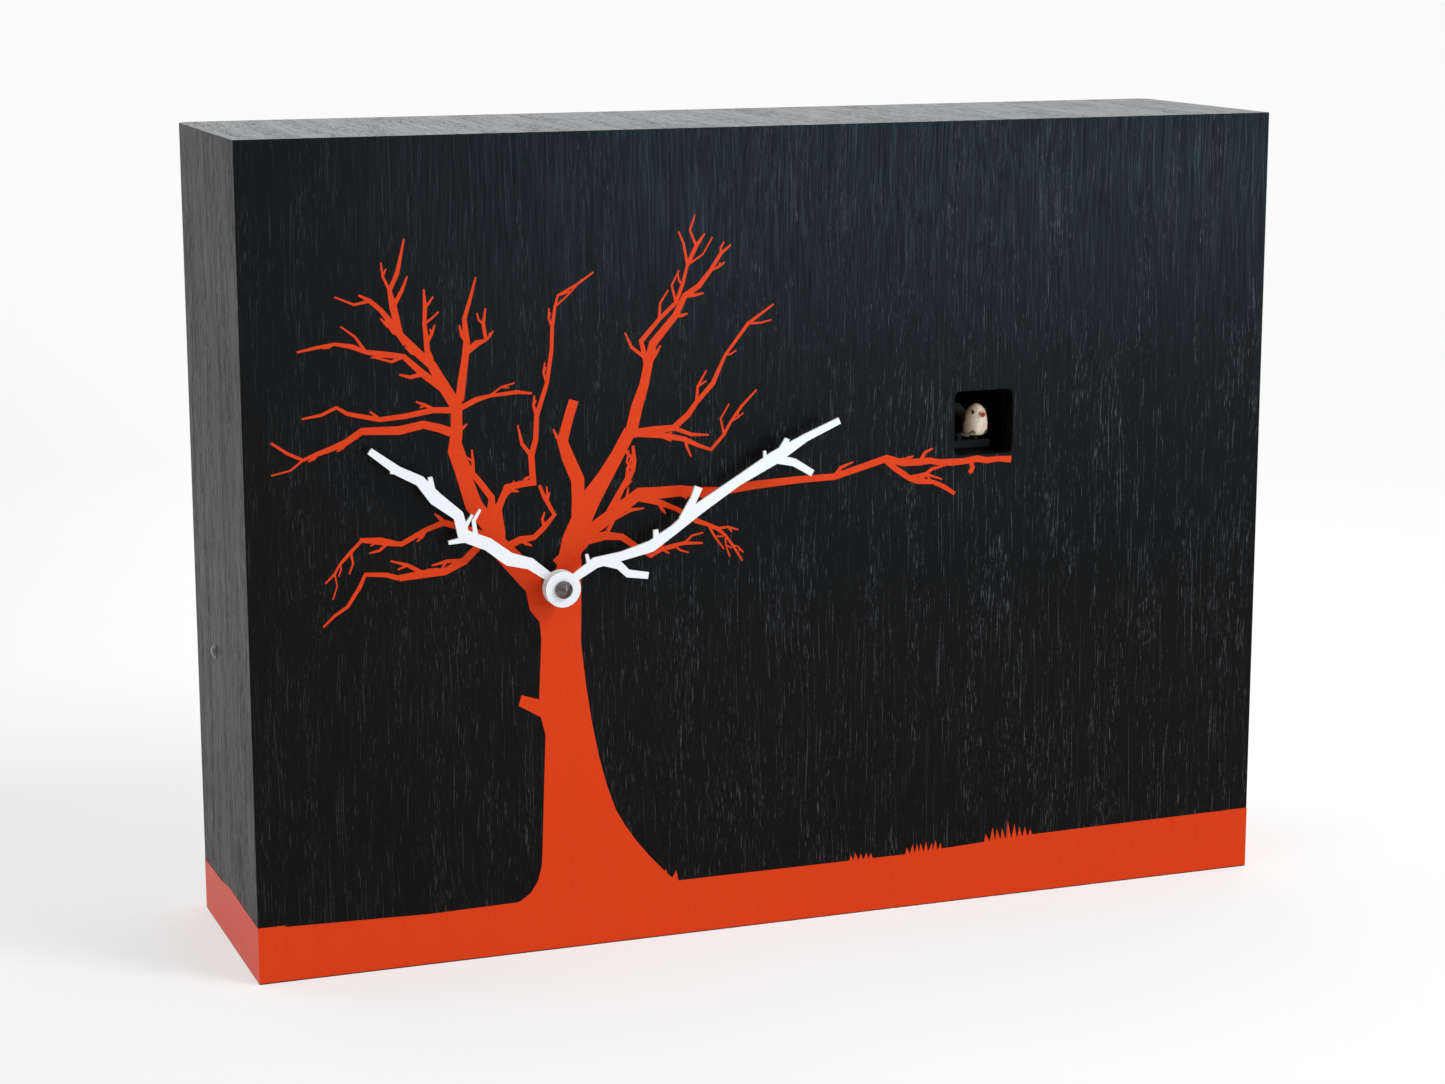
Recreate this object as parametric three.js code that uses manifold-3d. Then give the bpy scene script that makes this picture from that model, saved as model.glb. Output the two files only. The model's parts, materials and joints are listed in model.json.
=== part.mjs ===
// Battery wall cuckoo clock: a flat box of veneered panels with a printed bare tree,
// branch-shaped hands on a quartz movement, and a small bird that slides out of a square window.
// Millimetres. X runs to the right, Y to the back and Z up, from a point under the middle of the case.

import * as THREE from 'three';
import { ConvexGeometry } from 'three/addons/geometries/ConvexGeometry.js';
import { mergeVertices } from 'three/addons/utils/BufferGeometryUtils.js';
import Module from 'manifold-3d';

const wasm = await Module();
wasm.setup();

// ---------------------------------------------------------------- driving dimensions

const CASE_WIDTH = 360;
const CASE_HEIGHT = 270;
const CASE_DEPTH = 90;
const PANEL = 8; // thickness of every case panel
const REAR_RADIUS = 5; // rounding of the two upright edges at the wall

const SIDE = CASE_WIDTH / 2;
const FRONT = -CASE_DEPTH / 2;
const BACK = CASE_DEPTH / 2;
const INNER_SIDE = SIDE - PANEL;
const INNER_FRONT = FRONT + PANEL;
const INNER_FLOOR = PANEL;
const INNER_ROOF = CASE_HEIGHT - PANEL;

const HUB_X = -79; // axis of the hands
const HUB_Z = 124;
const BUSH_RADIUS = 3.4; // threaded bush that holds the movement to the front panel
const BUSH_HOLE = BUSH_RADIUS + 0.4;
const HOUR_FACE = FRONT - 5.6; // front faces of the two hands
const MINUTE_FACE = FRONT - 8.8;
const HAND_THICK = 0.8;
const HUB_DISC_RADIUS = 5.9; // disc at the root of each hand
const HOUR_PIPE_RADIUS = 2.5;
const ARBOR_RADIUS = 1.5;
const ARBOR_TIP = FRONT - 10.5;

const WINDOW_X = 73.5;
const WINDOW_Z = 168.3;
const WINDOW_WIDTH = 21.5;
const WINDOW_HEIGHT = 22;
const WINDOW_RADIUS = 2;

const INK = 0.1; // thickness of the printed layer
const BARE_EDGE = 0.4; // unprinted line along the bottom edge

const COVER_FRONT = 38; // the back cover is sunk into the case
const COVER_BACK = 41;
const RAIL_BOTTOM = 232; // hanging rail under the roof
const RAIL_THICK = 12;
const BLOCK_SIZE = 20; // section of a corner block
const BLOCK_LENGTH = 30;
const HANGER_X = 120;
const HANGER_Z = 246;
const HANGER_ENTRY_RADIUS = 4.6; // round end of the keyhole, for the wall screw's head
const HANGER_SLOT = 4.8; // width of its slot, for the screw's shank
const SCREW_RADIUS = 1.5;
const SCREW_TIP = 20;
const COVER_SCREWS = [
  ['upper_left', -160, 251],
  ['upper_right', 160, 251],
  ['lower_left', -162, 18],
  ['lower_right', 162, 18],
];
const SPEAKER_X = 0;
const SPEAKER_Z = 195;
const SPEAKER_DEPTH = 21;
const SOUND_HOLE_RADIUS = 2.5;
const SOUND_HOLE_PITCH = 10;

const SENSOR_Y = 10; // light sensor in the left side
const SENSOR_Z = 98;
const SENSOR_RADIUS = 2;

const GAP = 0.3; // room left between pieces that move past each other
const ROUND = 20; // sides of a middling cylinder
const CELL_LENGTH = 50.5; // one AA cell
const CELL_RADIUS = 7.1;
const LEAD_RADIUS = 1.1;

// Quartz movement, measured from the axis of the hands.
const MOVEMENT_HALF = 29; // half the width of the movement
const MOVEMENT_TOP = 27;
const MOVEMENT_FLOOR = -31;
const SHELL = 1.5;
const SHELL_SPLIT = -28; // where the two halves of the housing meet
const MOVEMENT_REAR = -19;
const CELL_BAY_TOP = -14.3;
const STAFF_RADIUS = 0.75; // arbor of the small wheels
const KNOB_SHAFT_RADIUS = 1.6;
const TRAIN_MODULE = 0.4375;
const MOTION_MODULE = 0.6;
const TEETH = {
  centre: 48,
  third: 40,
  intermediate: 32,
  pinion: 8,
  cannon: 10,
  motion: 30,
  motionPinion: 8,
  hour: 32,
};

// Cuckoo behind the window.
const DECK = WINDOW_Z - WINDOW_HEIGHT / 2; // top of the mechanism plate, level with the sill
const PLATE_THICK = 3;
const MOTOR_BOTTOM = DECK - 23;
const PLATE_REAR = 30;
const HOOD_HALF = 13; // half the width of the hood round the bird
const HOOD_TOP = 182;
const HOOD_REAR = -10;
const CARRIAGE_BOTTOM = DECK + GAP;
const CARRIAGE_TOP = 160.3;
const PLATFORM_FRONT = FRONT + 12.5;
const PLATFORM_HALF = 8.3;
const BAR_LEFT = WINDOW_X - 4;
const BAR_REAR = 28;
const RACK_LINE = WINDOW_X + 4.5; // pitch line of the rack
const RACK_MODULE = 0.8;
const RACK_TEETH = 10;
const DRIVE_Y = 3; // axes of the drive gear and of its motor
const DRIVE_TEETH = 12;
const DRIVE_PIN_RADIUS = 1.2;
const REDUCTION = { teeth: 36, pinion: 10, module: 0.5 };
const REDUCTION_BOTTOM = 161; // underside of the reduction wheel
const BOW_Y = PLATFORM_FRONT + 1.5; // pivot of the bowing bird
const BOW_Z = 161.9;
const BIRD_CENTRE = [WINDOW_X, FRONT + 7, 168.6];
const BIRD_RADII = [4.65, 5.4, 5.4];

// Box that holds the sound electronics, measured from its middle.
const CONTROL_X = 85;
const CONTROL_Z = 62;
const BOX_HALF_WIDTH = 58;
const BOX_HALF_HEIGHT = 31;
const BOX_REAR = -11;
const BOX_WALL = 2;
const BAY_RIGHT = -1.5; // the cell bay is left of this wall
const HINGE_Y = BOX_REAR + 1.8;
const HINGE_Z = -19.4;
const HINGE_LUG_RADIUS = 1.6;
const SWITCHES = [['volume_switch', 14], ['mode_switch', 38]];
const SWITCH_Z = 14;
const SWITCH_REACH = 2.6; // how far each knob stands out of the box
const BUTTON_X = 26;
const BUTTON_Z = -13;

// ---------------------------------------------------------------- solids

const AXES = {
  x: new THREE.Vector3(1, 0, 0),
  y: new THREE.Vector3(0, 1, 0),
  z: new THREE.Vector3(0, 0, 1),
};

// Turns a closed geometry into a solid that can be cut and joined.
function solidOf(geometry) {
  const bare = geometry.clone();
  bare.deleteAttribute('normal');
  bare.deleteAttribute('uv');
  const merged = mergeVertices(bare);
  const corners = merged.index.array;
  const kept = [];
  for (let i = 0; i < corners.length; i += 3) {
    const [a, b, c] = corners.subarray(i, i + 3);
    if (a !== b && b !== c && c !== a) kept.push(a, b, c);
  }
  const vertProperties = merged.attributes.position.array;
  const triVerts = new Uint32Array(kept);
  return new wasm.Manifold(new wasm.Mesh({ numProp: 3, vertProperties, triVerts }));
}

function geometryOf(solid) {
  const { vertProperties, triVerts } = solid.getMesh();
  const geometry = new THREE.BufferGeometry();
  geometry.setAttribute('position', new THREE.BufferAttribute(vertProperties, 3));
  geometry.setIndex(new THREE.BufferAttribute(triVerts, 1));
  geometry.computeVertexNormals();
  return geometry;
}

const join = (first, ...others) => others.reduce((whole, piece) => whole.add(piece), first);
const cut = (first, ...tools) => tools.reduce((rest, tool) => rest.subtract(tool), first);

function box([x0, x1], [y0, y1], [z0, z1]) {
  const geometry = new THREE.BoxGeometry(x1 - x0, y1 - y0, z1 - z0);
  return solidOf(geometry.translate((x0 + x1) / 2, (y0 + y1) / 2, (z0 + z1) / 2));
}

// An outline extruded along one axis. It is drawn in (x, z) for y, (x, y) for z and (y, z) for x.
function prism(axis, outline, from, to) {
  const shape = Array.isArray(outline) ? new THREE.Shape(outline) : outline;
  const geometry = new THREE.ExtrudeGeometry(shape, { depth: to - from, bevelEnabled: false });
  const turn = new THREE.Matrix4();
  if (axis === 'y') turn.makeBasis(AXES.x, AXES.z, AXES.y.clone().negate()).setPosition(0, to, 0);
  if (axis === 'x') turn.makeBasis(AXES.y, AXES.z, AXES.x).setPosition(from, 0, 0);
  if (axis === 'z') turn.setPosition(0, 0, from);
  return solidOf(geometry.applyMatrix4(turn));
}

function circle(radius, across = 0, up = 0, sides = ROUND) {
  return Array.from({ length: sides }, (_, i) => {
    const angle = (2 * Math.PI * i) / sides;
    return new THREE.Vector2(across + radius * Math.cos(angle), up + radius * Math.sin(angle));
  });
}

const rod = (axis, radius, from, to, across = 0, up = 0, sides = ROUND) =>
  prism(axis, circle(radius, across, up, sides), from, to);

// A turned piece about the Y axis, from a closed profile of [radius, y] points.
function turned(profile, sides = ROUND) {
  const points = profile.map(([radius, y]) => new THREE.Vector2(radius, y));
  return solidOf(new THREE.LatheGeometry(points, sides));
}

function roundedBox(width, height, radius, across = 0, up = 0) {
  const x = across - width / 2;
  const z = up - height / 2;
  const shape = new THREE.Shape();
  shape.moveTo(x + radius, z);
  shape.absarc(x + width - radius, z + radius, radius, -Math.PI / 2, 0);
  shape.absarc(x + width - radius, z + height - radius, radius, 0, Math.PI / 2);
  shape.absarc(x + radius, z + height - radius, radius, Math.PI / 2, Math.PI);
  shape.absarc(x + radius, z + radius, radius, Math.PI, 1.5 * Math.PI);
  return new THREE.Shape(shape.getPoints(2));
}

function ball(radii, centre, sides = 16, rings = 10) {
  const geometry = new THREE.SphereGeometry(1, sides, rings).scale(...radii);
  return solidOf(geometry.translate(...centre));
}

// A round lead along a smooth curve through the given points.
function lead(points, radius, steps) {
  const curve = new THREE.CatmullRomCurve3(points.map((point) => new THREE.Vector3(...point)));
  const section = new THREE.Shape(circle(radius, 0, 0, 8));
  return solidOf(new THREE.ExtrudeGeometry(section, { steps, extrudePath: curve, bevelEnabled: false }));
}

// ---------------------------------------------------------------- gear teeth

// A tooth's height is in modules, and its width is a share of one pitch.
const WHEEL_TOOTH = { addendum: 0.7, dedendum: 1, tip: 0.22, root: 0.56 };
const PINION_TOOTH = { addendum: 0.75, dedendum: 1.05, tip: 0.18, root: 0.46 };

function gearOutline(teeth, module, phase, tooth, across, up) {
  const radius = (teeth * module) / 2;
  const pitch = (2 * Math.PI) / teeth;
  const flank = [
    [radius - tooth.dedendum * module, -tooth.root],
    [radius + tooth.addendum * module, -tooth.tip],
    [radius + tooth.addendum * module, tooth.tip],
    [radius - tooth.dedendum * module, tooth.root],
  ];
  const outline = [];
  for (let i = 0; i < teeth; i += 1) {
    for (const [reach, share] of flank) {
      const angle = phase + pitch * (i + share / 2);
      outline.push(new THREE.Vector2(across + reach * Math.cos(angle), up + reach * Math.sin(angle)));
    }
  }
  return outline;
}

// The phase that puts a gap of the second gear round a tooth of the first one.
// The bearing is the direction from the first centre to the second.
function meshPhase(teeth, phase, bearing, otherTeeth) {
  return bearing + Math.PI - ((phase - bearing) * teeth) / otherTeeth + Math.PI / otherTeeth;
}

const degrees = (angle) => (angle * Math.PI) / 180;

function stepFrom([across, up], distance, bearing) {
  return [across + distance * Math.cos(bearing), up + distance * Math.sin(bearing)];
}

// ---------------------------------------------------------------- finishes and placing

function finish(color, roughness, metalness = 0) {
  return { color, roughness, metalness };
}

const BLACK_VENEER = finish(0x17171b, 0.5);
const ORANGE_INK = finish(0xe0401c, 0.45);
const BLACK_PLASTIC = finish(0x101012, 0.55);
const GREY_PLASTIC = finish(0x55575c, 0.5);
const WHITE_PLASTIC = finish(0xe8e6df, 0.45);
const HARDBOARD = finish(0x4a3a2c, 0.85);
const SOFTWOOD = finish(0xb99668, 0.75);
const STEEL = finish(0xa9abad, 0.35, 1);
const DARK_STEEL = finish(0x77777b, 0.25, 1);
const BRASS = finish(0xb8923f, 0.35, 1);
const COPPER = finish(0xb0602c, 0.4, 1);
const WHITE_PAINT = finish(0xf2f4f7, 0.4);
const GREEN_BOARD = finish(0x1e5a34, 0.5);
const CELL_SKIN = finish(0x3c4a55, 0.35);
const CLEAR_LENS = finish(0xdfe6ea, 0.1);
const BIRD_PAINT = finish(0xe9dcc3, 0.5);
const BIRD_WOOD = finish(0xa8825a, 0.6);

const clock = new THREE.Group();

function group(x, y, z) {
  const place = new THREE.Group();
  place.position.set(x, y, z);
  clock.add(place);
  return place;
}

function part(parent, name, solid, look) {
  const mesh = new THREE.Mesh(geometryOf(solid), new THREE.MeshStandardMaterial(look));
  mesh.name = name;
  parent.add(mesh);
}

// ---------------------------------------------------------------- case

// Footprint of the case, grown outwards by the given amount.
function caseOutline(grow) {
  const side = SIDE + grow;
  const radius = REAR_RADIUS + grow;
  const straight = BACK - REAR_RADIUS;
  const shape = new THREE.Shape();
  shape.moveTo(-side, FRONT - grow);
  shape.lineTo(side, FRONT - grow);
  shape.absarc(SIDE - REAR_RADIUS, straight, radius, 0, Math.PI / 2);
  shape.absarc(REAR_RADIUS - SIDE, straight, radius, Math.PI / 2, Math.PI);
  return new THREE.Shape(shape.getPoints(4));
}

// A panel between a rectangle on the outside and a smaller one on the inside, mitred on its edges.
function mitredPanel(outside, inside) {
  const corners = [outside, inside].flatMap(([xs, ys, zs]) =>
    xs.flatMap((x) => ys.flatMap((y) => zs.map((z) => new THREE.Vector3(x, y, z)))));
  return solidOf(new ConvexGeometry(corners));
}

const windowHole = (from, to) =>
  prism('y', roundedBox(WINDOW_WIDTH, WINDOW_HEIGHT, WINDOW_RADIUS, WINDOW_X, WINDOW_Z), from, to);
const frontBushHole = (from, to) => rod('y', BUSH_HOLE, from, to, HUB_X, HUB_Z);

function buildPanels() {
  const block = prism('z', caseOutline(0), 0, CASE_HEIGHT);
  const widths = [[-SIDE, SIDE], [-INNER_SIDE, INNER_SIDE]];
  const depths = [[FRONT, BACK], [INNER_FRONT, BACK]];
  const heights = [[0, CASE_HEIGHT], [INNER_FLOOR, INNER_ROOF]];
  const front = mitredPanel(
    [widths[0], [FRONT], heights[0]],
    [widths[1], [INNER_FRONT], heights[1]],
  );
  const sidePanel = (sign) => mitredPanel(
    [[sign * SIDE], depths[0], heights[0]],
    [[sign * INNER_SIDE], depths[1], heights[1]],
  );
  const levelPanel = (outer, inner) => mitredPanel(
    [widths[0], depths[0], [outer]],
    [widths[1], depths[1], [inner]],
  );
  const frontHoles = [windowHole(FRONT - 1, INNER_FRONT + 1), frontBushHole(FRONT - 1, INNER_FRONT + 1)];
  const sensorHole = rod('x', SENSOR_RADIUS + GAP, -SIDE - 1, 1 - INNER_SIDE, SENSOR_Y, SENSOR_Z, 12);

  part(clock, 'front_panel', cut(front, ...frontHoles), BLACK_VENEER);
  part(clock, 'left_panel', cut(sidePanel(-1).intersect(block), sensorHole), BLACK_VENEER);
  part(clock, 'right_panel', sidePanel(1).intersect(block), BLACK_VENEER);
  part(clock, 'top_panel', levelPanel(CASE_HEIGHT, INNER_ROOF).intersect(block), BLACK_VENEER);
  part(clock, 'bottom_panel', levelPanel(0, INNER_FLOOR).intersect(block), BLACK_VENEER);
}

// ---------------------------------------------------------------- back of the case

const THROUGH_COVER = [COVER_FRONT - 1, COVER_BACK + 1];

// Keyhole: the wall screw's head goes in below, and its shank slides up the slot.
function hangerPlate(x) {
  const plate = prism('y', roundedBox(36, 28, 3, x, HANGER_Z), COVER_BACK, COVER_BACK + 1.5);
  const through = [COVER_BACK - 1, COVER_BACK + 3];
  const entry = rod('y', HANGER_ENTRY_RADIUS, ...through, x, HANGER_Z - 4, 16);
  const slot = box([x - HANGER_SLOT / 2, x + HANGER_SLOT / 2], through, [HANGER_Z - 4, HANGER_Z + 7]);
  return cut(plate, entry, slot);
}

// A round-headed screw, with its head on the cover and its shank in the wood.
function coverScrew(x, z) {
  const profile = [[0, SCREW_TIP], [SCREW_RADIUS, SCREW_TIP + 3], [SCREW_RADIUS, COVER_BACK],
    [3.4, COVER_BACK], [3.1, COVER_BACK + 1.2], [1.6, COVER_BACK + 2.1], [0, COVER_BACK + 2.3]];
  return turned(profile, 8).translate([x, 0, z]);
}

function soundHoles() {
  const centres = [[SPEAKER_X, SPEAKER_Z]];
  for (const ring of [1, 2]) {
    const count = 4 * ring;
    for (let i = 0; i < count; i += 1) {
      centres.push(stepFrom(centres[0], SOUND_HOLE_PITCH * ring, (2 * Math.PI * i) / count));
    }
  }
  return centres.map(([x, z]) => rod('y', SOUND_HOLE_RADIUS, ...THROUGH_COVER, x, z, 8));
}

function buildBack() {
  const hatches = [
    roundedBox(68, 68, 4, HUB_X, HUB_Z - 2),
    roundedBox(124, 72, 4, CONTROL_X, CONTROL_Z),
  ].map((outline) => prism('y', outline, ...THROUGH_COVER));
  const pockets = [-HANGER_X, HANGER_X].map((x) => roundedBox(14, 20, 3, x, HANGER_Z));
  const screwHoles = (radius, from, to) =>
    COVER_SCREWS.map(([, x, z]) => rod('y', radius, from, to, x, z, 8));

  const cover = box([GAP - INNER_SIDE, INNER_SIDE - GAP], [COVER_FRONT, COVER_BACK],
    [INNER_FLOOR + GAP, INNER_ROOF - GAP]);
  const coverPockets = pockets.map((outline) => prism('y', outline, ...THROUGH_COVER));
  const clearHoles = screwHoles(SCREW_RADIUS + 0.3, ...THROUGH_COVER);
  const openings = [...hatches, ...coverPockets, ...clearHoles, ...soundHoles()];
  part(clock, 'back_cover', cut(cover, ...openings), HARDBOARD);

  const pilots = screwHoles(SCREW_RADIUS + 0.1, SCREW_TIP - 5, COVER_FRONT + 1);
  const railDepths = [COVER_FRONT - RAIL_THICK, COVER_FRONT];
  const rail = box([-INNER_SIDE, INNER_SIDE], railDepths, [RAIL_BOTTOM, INNER_ROOF]);
  const railPockets = pockets.map((outline) => prism('y', outline, COVER_FRONT - 7, COVER_FRONT + 1));
  part(clock, 'hanging_rail', cut(rail, ...railPockets, ...pilots), SOFTWOOD);

  const blockDepths = [COVER_FRONT - BLOCK_LENGTH, COVER_FRONT];
  const blockHeights = [INNER_FLOOR, INNER_FLOOR + BLOCK_SIZE];
  const leftBlock = box([-INNER_SIDE, BLOCK_SIZE - INNER_SIDE], blockDepths, blockHeights);
  const rightBlock = box([INNER_SIDE - BLOCK_SIZE, INNER_SIDE], blockDepths, blockHeights);
  part(clock, 'corner_block_left', cut(leftBlock, ...pilots), SOFTWOOD);
  part(clock, 'corner_block_right', cut(rightBlock, ...pilots), SOFTWOOD);

  part(clock, 'hanger_plate_left', hangerPlate(-HANGER_X), STEEL);
  part(clock, 'hanger_plate_right', hangerPlate(HANGER_X), STEEL);
  for (const [place, x, z] of COVER_SCREWS) {
    part(clock, `cover_screw_${place}`, coverScrew(x, z), DARK_STEEL);
  }
}

// ---------------------------------------------------------------- printed tree and ground

// A limb drawn as a band round a centre line of [x, z, width] points.
function limbOutline(line) {
  const last = line.length - 1;
  const near = [];
  const far = [];
  line.forEach(([x, z, width], i) => {
    const [x0, z0] = line[Math.max(i - 1, 0)];
    const [x1, z1] = line[Math.min(i + 1, last)];
    const across = Math.atan2(z1 - z0, x1 - x0) + Math.PI / 2;
    near.push(new THREE.Vector2(...stepFrom([x, z], width / 2, across)));
    far.unshift(new THREE.Vector2(...stepFrom([x, z], -width / 2, across)));
  });
  return [...near, ...far];
}

// Repeatable spread of values between 0 and 1.
const scatter = (seed) => THREE.MathUtils.euclideanModulo(Math.sin(seed * 12.9898) * 43758.5453, 1);

// A tapering centre line with a small seeded bend and knot between every two of its points.
function grownLine(startWidth, endWidth, points, seed) {
  const line = [];
  points.forEach(([x, z], i) => {
    const width = THREE.MathUtils.lerp(startWidth, endWidth, i / (points.length - 1));
    line.push([x, z, width * (0.88 + 0.24 * scatter(seed + i))]);
    if (i === points.length - 1) return;
    const [nextX, nextZ] = points[i + 1];
    const length = Math.hypot(nextX - x, nextZ - z);
    const heading = Math.atan2(nextZ - z, nextX - x);
    const middle = stepFrom([x, z], length * (0.35 + 0.3 * scatter(seed - i)), heading);
    const bend = length * 0.16 * (scatter(seed + 3 * i) - 0.5);
    const knot = width * (0.8 + 0.3 * scatter(seed + 5 * i));
    line.push([...stepFrom(middle, bend, heading + Math.PI / 2), knot]);
  });
  return line;
}

const TWIG_TIP = 0.5; // width of a twig's end

// Main limbs of the bare tree: start and end width, then the centre line from the fork outwards.
const LIMBS = [
  [8.5, 6.5, [[-78, 111], [-86, 124], [-98, 138]]],
  [6.5, 3.6, [[-98, 138], [-106, 152], [-112, 170], [-111, 186]]],
  [3.8, 0.6, [[-111, 184], [-119, 198], [-129, 208], [-132, 222], [-127, 238]]],
  [2.4, 0.6, [[-127, 205], [-135, 216], [-142, 221]]],
  [1.9, 0.6, [[-120, 199], [-121, 211], [-121, 222]]],
  [2.3, 0.6, [[-114, 189], [-128, 201], [-140, 203], [-150, 206], [-162, 204]]],
  [2.2, 0.6, [[-112, 183], [-128, 182], [-143, 183], [-150, 186], [-161, 183]]],
  [3, 0.7, [[-113, 176], [-122, 179], [-142, 178], [-152, 173], [-161, 170], [-171, 176]]],
  [2.8, 0.6, [[-110, 186], [-108, 199], [-108, 212], [-104, 225]]],
  [1.9, 0.6, [[-108, 201], [-101, 205], [-101, 215]]],
  [1.7, 0.6, [[-111, 183], [-100, 187], [-86, 187]]],
  [2.6, 1.9, [[-97, 137], [-98, 150], [-95, 157], [-86, 158]]],
  [1.9, 0.6, [[-86, 157], [-85, 172], [-81, 190], [-79, 208], [-77, 218], [-65, 225]]],
  [2.9, 1, [[-99, 143], [-100, 154], [-106, 162], [-110, 172]]],
  [4.6, 3.2, [[-71, 146], [-71, 158], [-76, 171], [-72, 184]]],
  [2.2, 1, [[-97, 137], [-86, 140], [-79, 147], [-84, 157]]],
  [8.5, 4, [[-77, 118], [-73, 138], [-62, 158], [-53, 173]]],
  [4, 0.6, [[-53, 171], [-48, 188], [-45, 201], [-34, 216], [-25, 224], [-18, 232]]],
  [2, 0.6, [[-47, 192], [-49, 202], [-37, 214], [-33, 226], [-36, 237]]],
  [1.3, 0.6, [[-33, 226], [-27, 236]]],
  [2.6, 0.6, [[-53, 172], [-38, 173], [-30, 181], [-20, 196], [-3, 212]]],
  [2, 0.6, [[-52, 172], [-34, 169], [-25, 165], [-18, 174], [-9, 184]]],
  [5.4, 2.6, [[-78, 130], [-65, 142], [-50, 152], [-36, 152], [-22, 151], [6, 153]]],
  [2.6, 2.1, [[6, 153], [38, 158.2], [50, 156.2], [57, 155.6], [66, 155.4], [75, 155.2], [84, 155]]],
  [2.2, 1.4, [[37, 158], [46, 151], [55, 149], [63, 144.5]]],
  [2.8, 0.9, [[-62, 143], [-56, 154], [-52, 160], [-52, 168]]],
  [3.6, 1.8, [[-92, 134], [-104, 139], [-116, 131], [-131, 130]]],
  [1.8, 0.6, [[-131, 130], [-142, 132], [-148, 122], [-156, 116]]],
  [2.2, 0.6, [[-100, 141], [-116, 147], [-130, 141], [-143, 143], [-150, 136], [-155, 130]]],
  [2.6, 0.7, [[-72, 137], [-56, 138], [-46, 131], [-38, 134], [-28, 134]]],
  [2, 0.6, [[-52, 151], [-37, 146], [-26, 140], [-20, 136], [-14, 127]]],
  [1.8, 1.4, [[69, 155], [69.6, 153], [68.4, 151.2]]],
];

// Trunk: flared at the ground, waisted under the fork, with one broken branch on its left.
function trunkOutline() {
  const shape = new THREE.Shape();
  shape.moveTo(-97, 17);
  shape.quadraticCurveTo(-84, 18, -84.5, 36);
  shape.lineTo(-83, 74);
  shape.lineTo(-84.5, 80);
  shape.lineTo(-92, 84.5);
  shape.lineTo(-91, 88);
  shape.lineTo(-85, 86);
  shape.lineTo(-84, 106);
  shape.quadraticCurveTo(-84.5, 114, -86, 119);
  shape.lineTo(-78, 130);
  shape.lineTo(-70, 132);
  shape.lineTo(-70.5, 104);
  shape.quadraticCurveTo(-67, 66, -59, 46);
  shape.quadraticCurveTo(-52, 32, -36, 17);
  return new THREE.Shape(shape.getPoints(5));
}

// A crooked twig. Two in five fork once more at their elbow.
function twigLines([x, z], width, heading, turn, length, seed) {
  const elbow = stepFrom([x, z], length * (0.3 + 0.4 * scatter(seed)), heading + turn);
  const tip = stepFrom(elbow, length * 0.6, heading + turn * (0.1 + 0.8 * scatter(seed + 1)));
  const twig = [[x, z, width], [...elbow, width * 0.8], [...tip, TWIG_TIP]];
  if (scatter(seed + 2) > 0.4) return [twig];
  const spur = stepFrom(elbow, length * 0.35, heading - turn * 0.5);
  return [twig, [[...elbow, width * 0.7], [...spur, TWIG_TIP]]];
}

// Twigs grow at the inner points of each limb and lean towards its tip. Some points stay bare.
function twigs(limb, seed) {
  return limb.slice(1, -1).flatMap(([x, z, width], i) => {
    const own = seed + 5 * i;
    const bare = width > 4.4 || z < 128 || x > 50 || scatter(own) < 0.35;
    if (bare) return [];
    const [x0, z0] = limb[i];
    const [x1, z1] = limb[i + 2];
    const side = scatter(own + 1) < 0.5 ? 1 : -1;
    const turn = side * (0.45 + 0.6 * scatter(own + 2));
    const length = 3.5 + 8 * scatter(own + 3) ** 2;
    return twigLines([x, z], Math.min(width * 0.7, 1.5), Math.atan2(z1 - z0, x1 - x0), turn, length, own);
  });
}

// Blades of grass along a tuft, taller in the middle.
function tuft(from, to, base, tall, count) {
  const step = (to - from) / count;
  const outline = [[from, base - 2], [from, base]];
  for (let i = 0; i < count; i += 1) {
    const swell = 0.55 + 0.45 * Math.sin((Math.PI * (i + 0.5)) / count);
    const height = tall * swell * (0.6 + 0.4 * scatter(i + from));
    outline.push([from + step * (i + 0.2 + 0.6 * scatter(from - i)), base + height]);
    outline.push([from + step * (i + 1), base]);
  }
  outline.push([to, base - 2]);
  return outline.map(([x, z]) => new THREE.Vector2(x, z));
}

const GROUND_LINE = [[-182, 18.8], [-123, 17.3], [-93, 17.8], [-37, 19], [46, 19], [95, 21], [182, 21.8]];
const SIDE_GROUND_LINE = [[-46, 19], [0, 19.6], [10, 18.2], [46, 17.4]]; // left side, front to back
// Grass: left end, right end, foot, height and number of blades of each tuft.
const TUFTS = [[-46, -37, 18.8, 7, 3], [25, 34, 18.8, 4, 5], [46, 60, 18.9, 5.5, 8], [76, 95, 20, 7.5, 9]];

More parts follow.
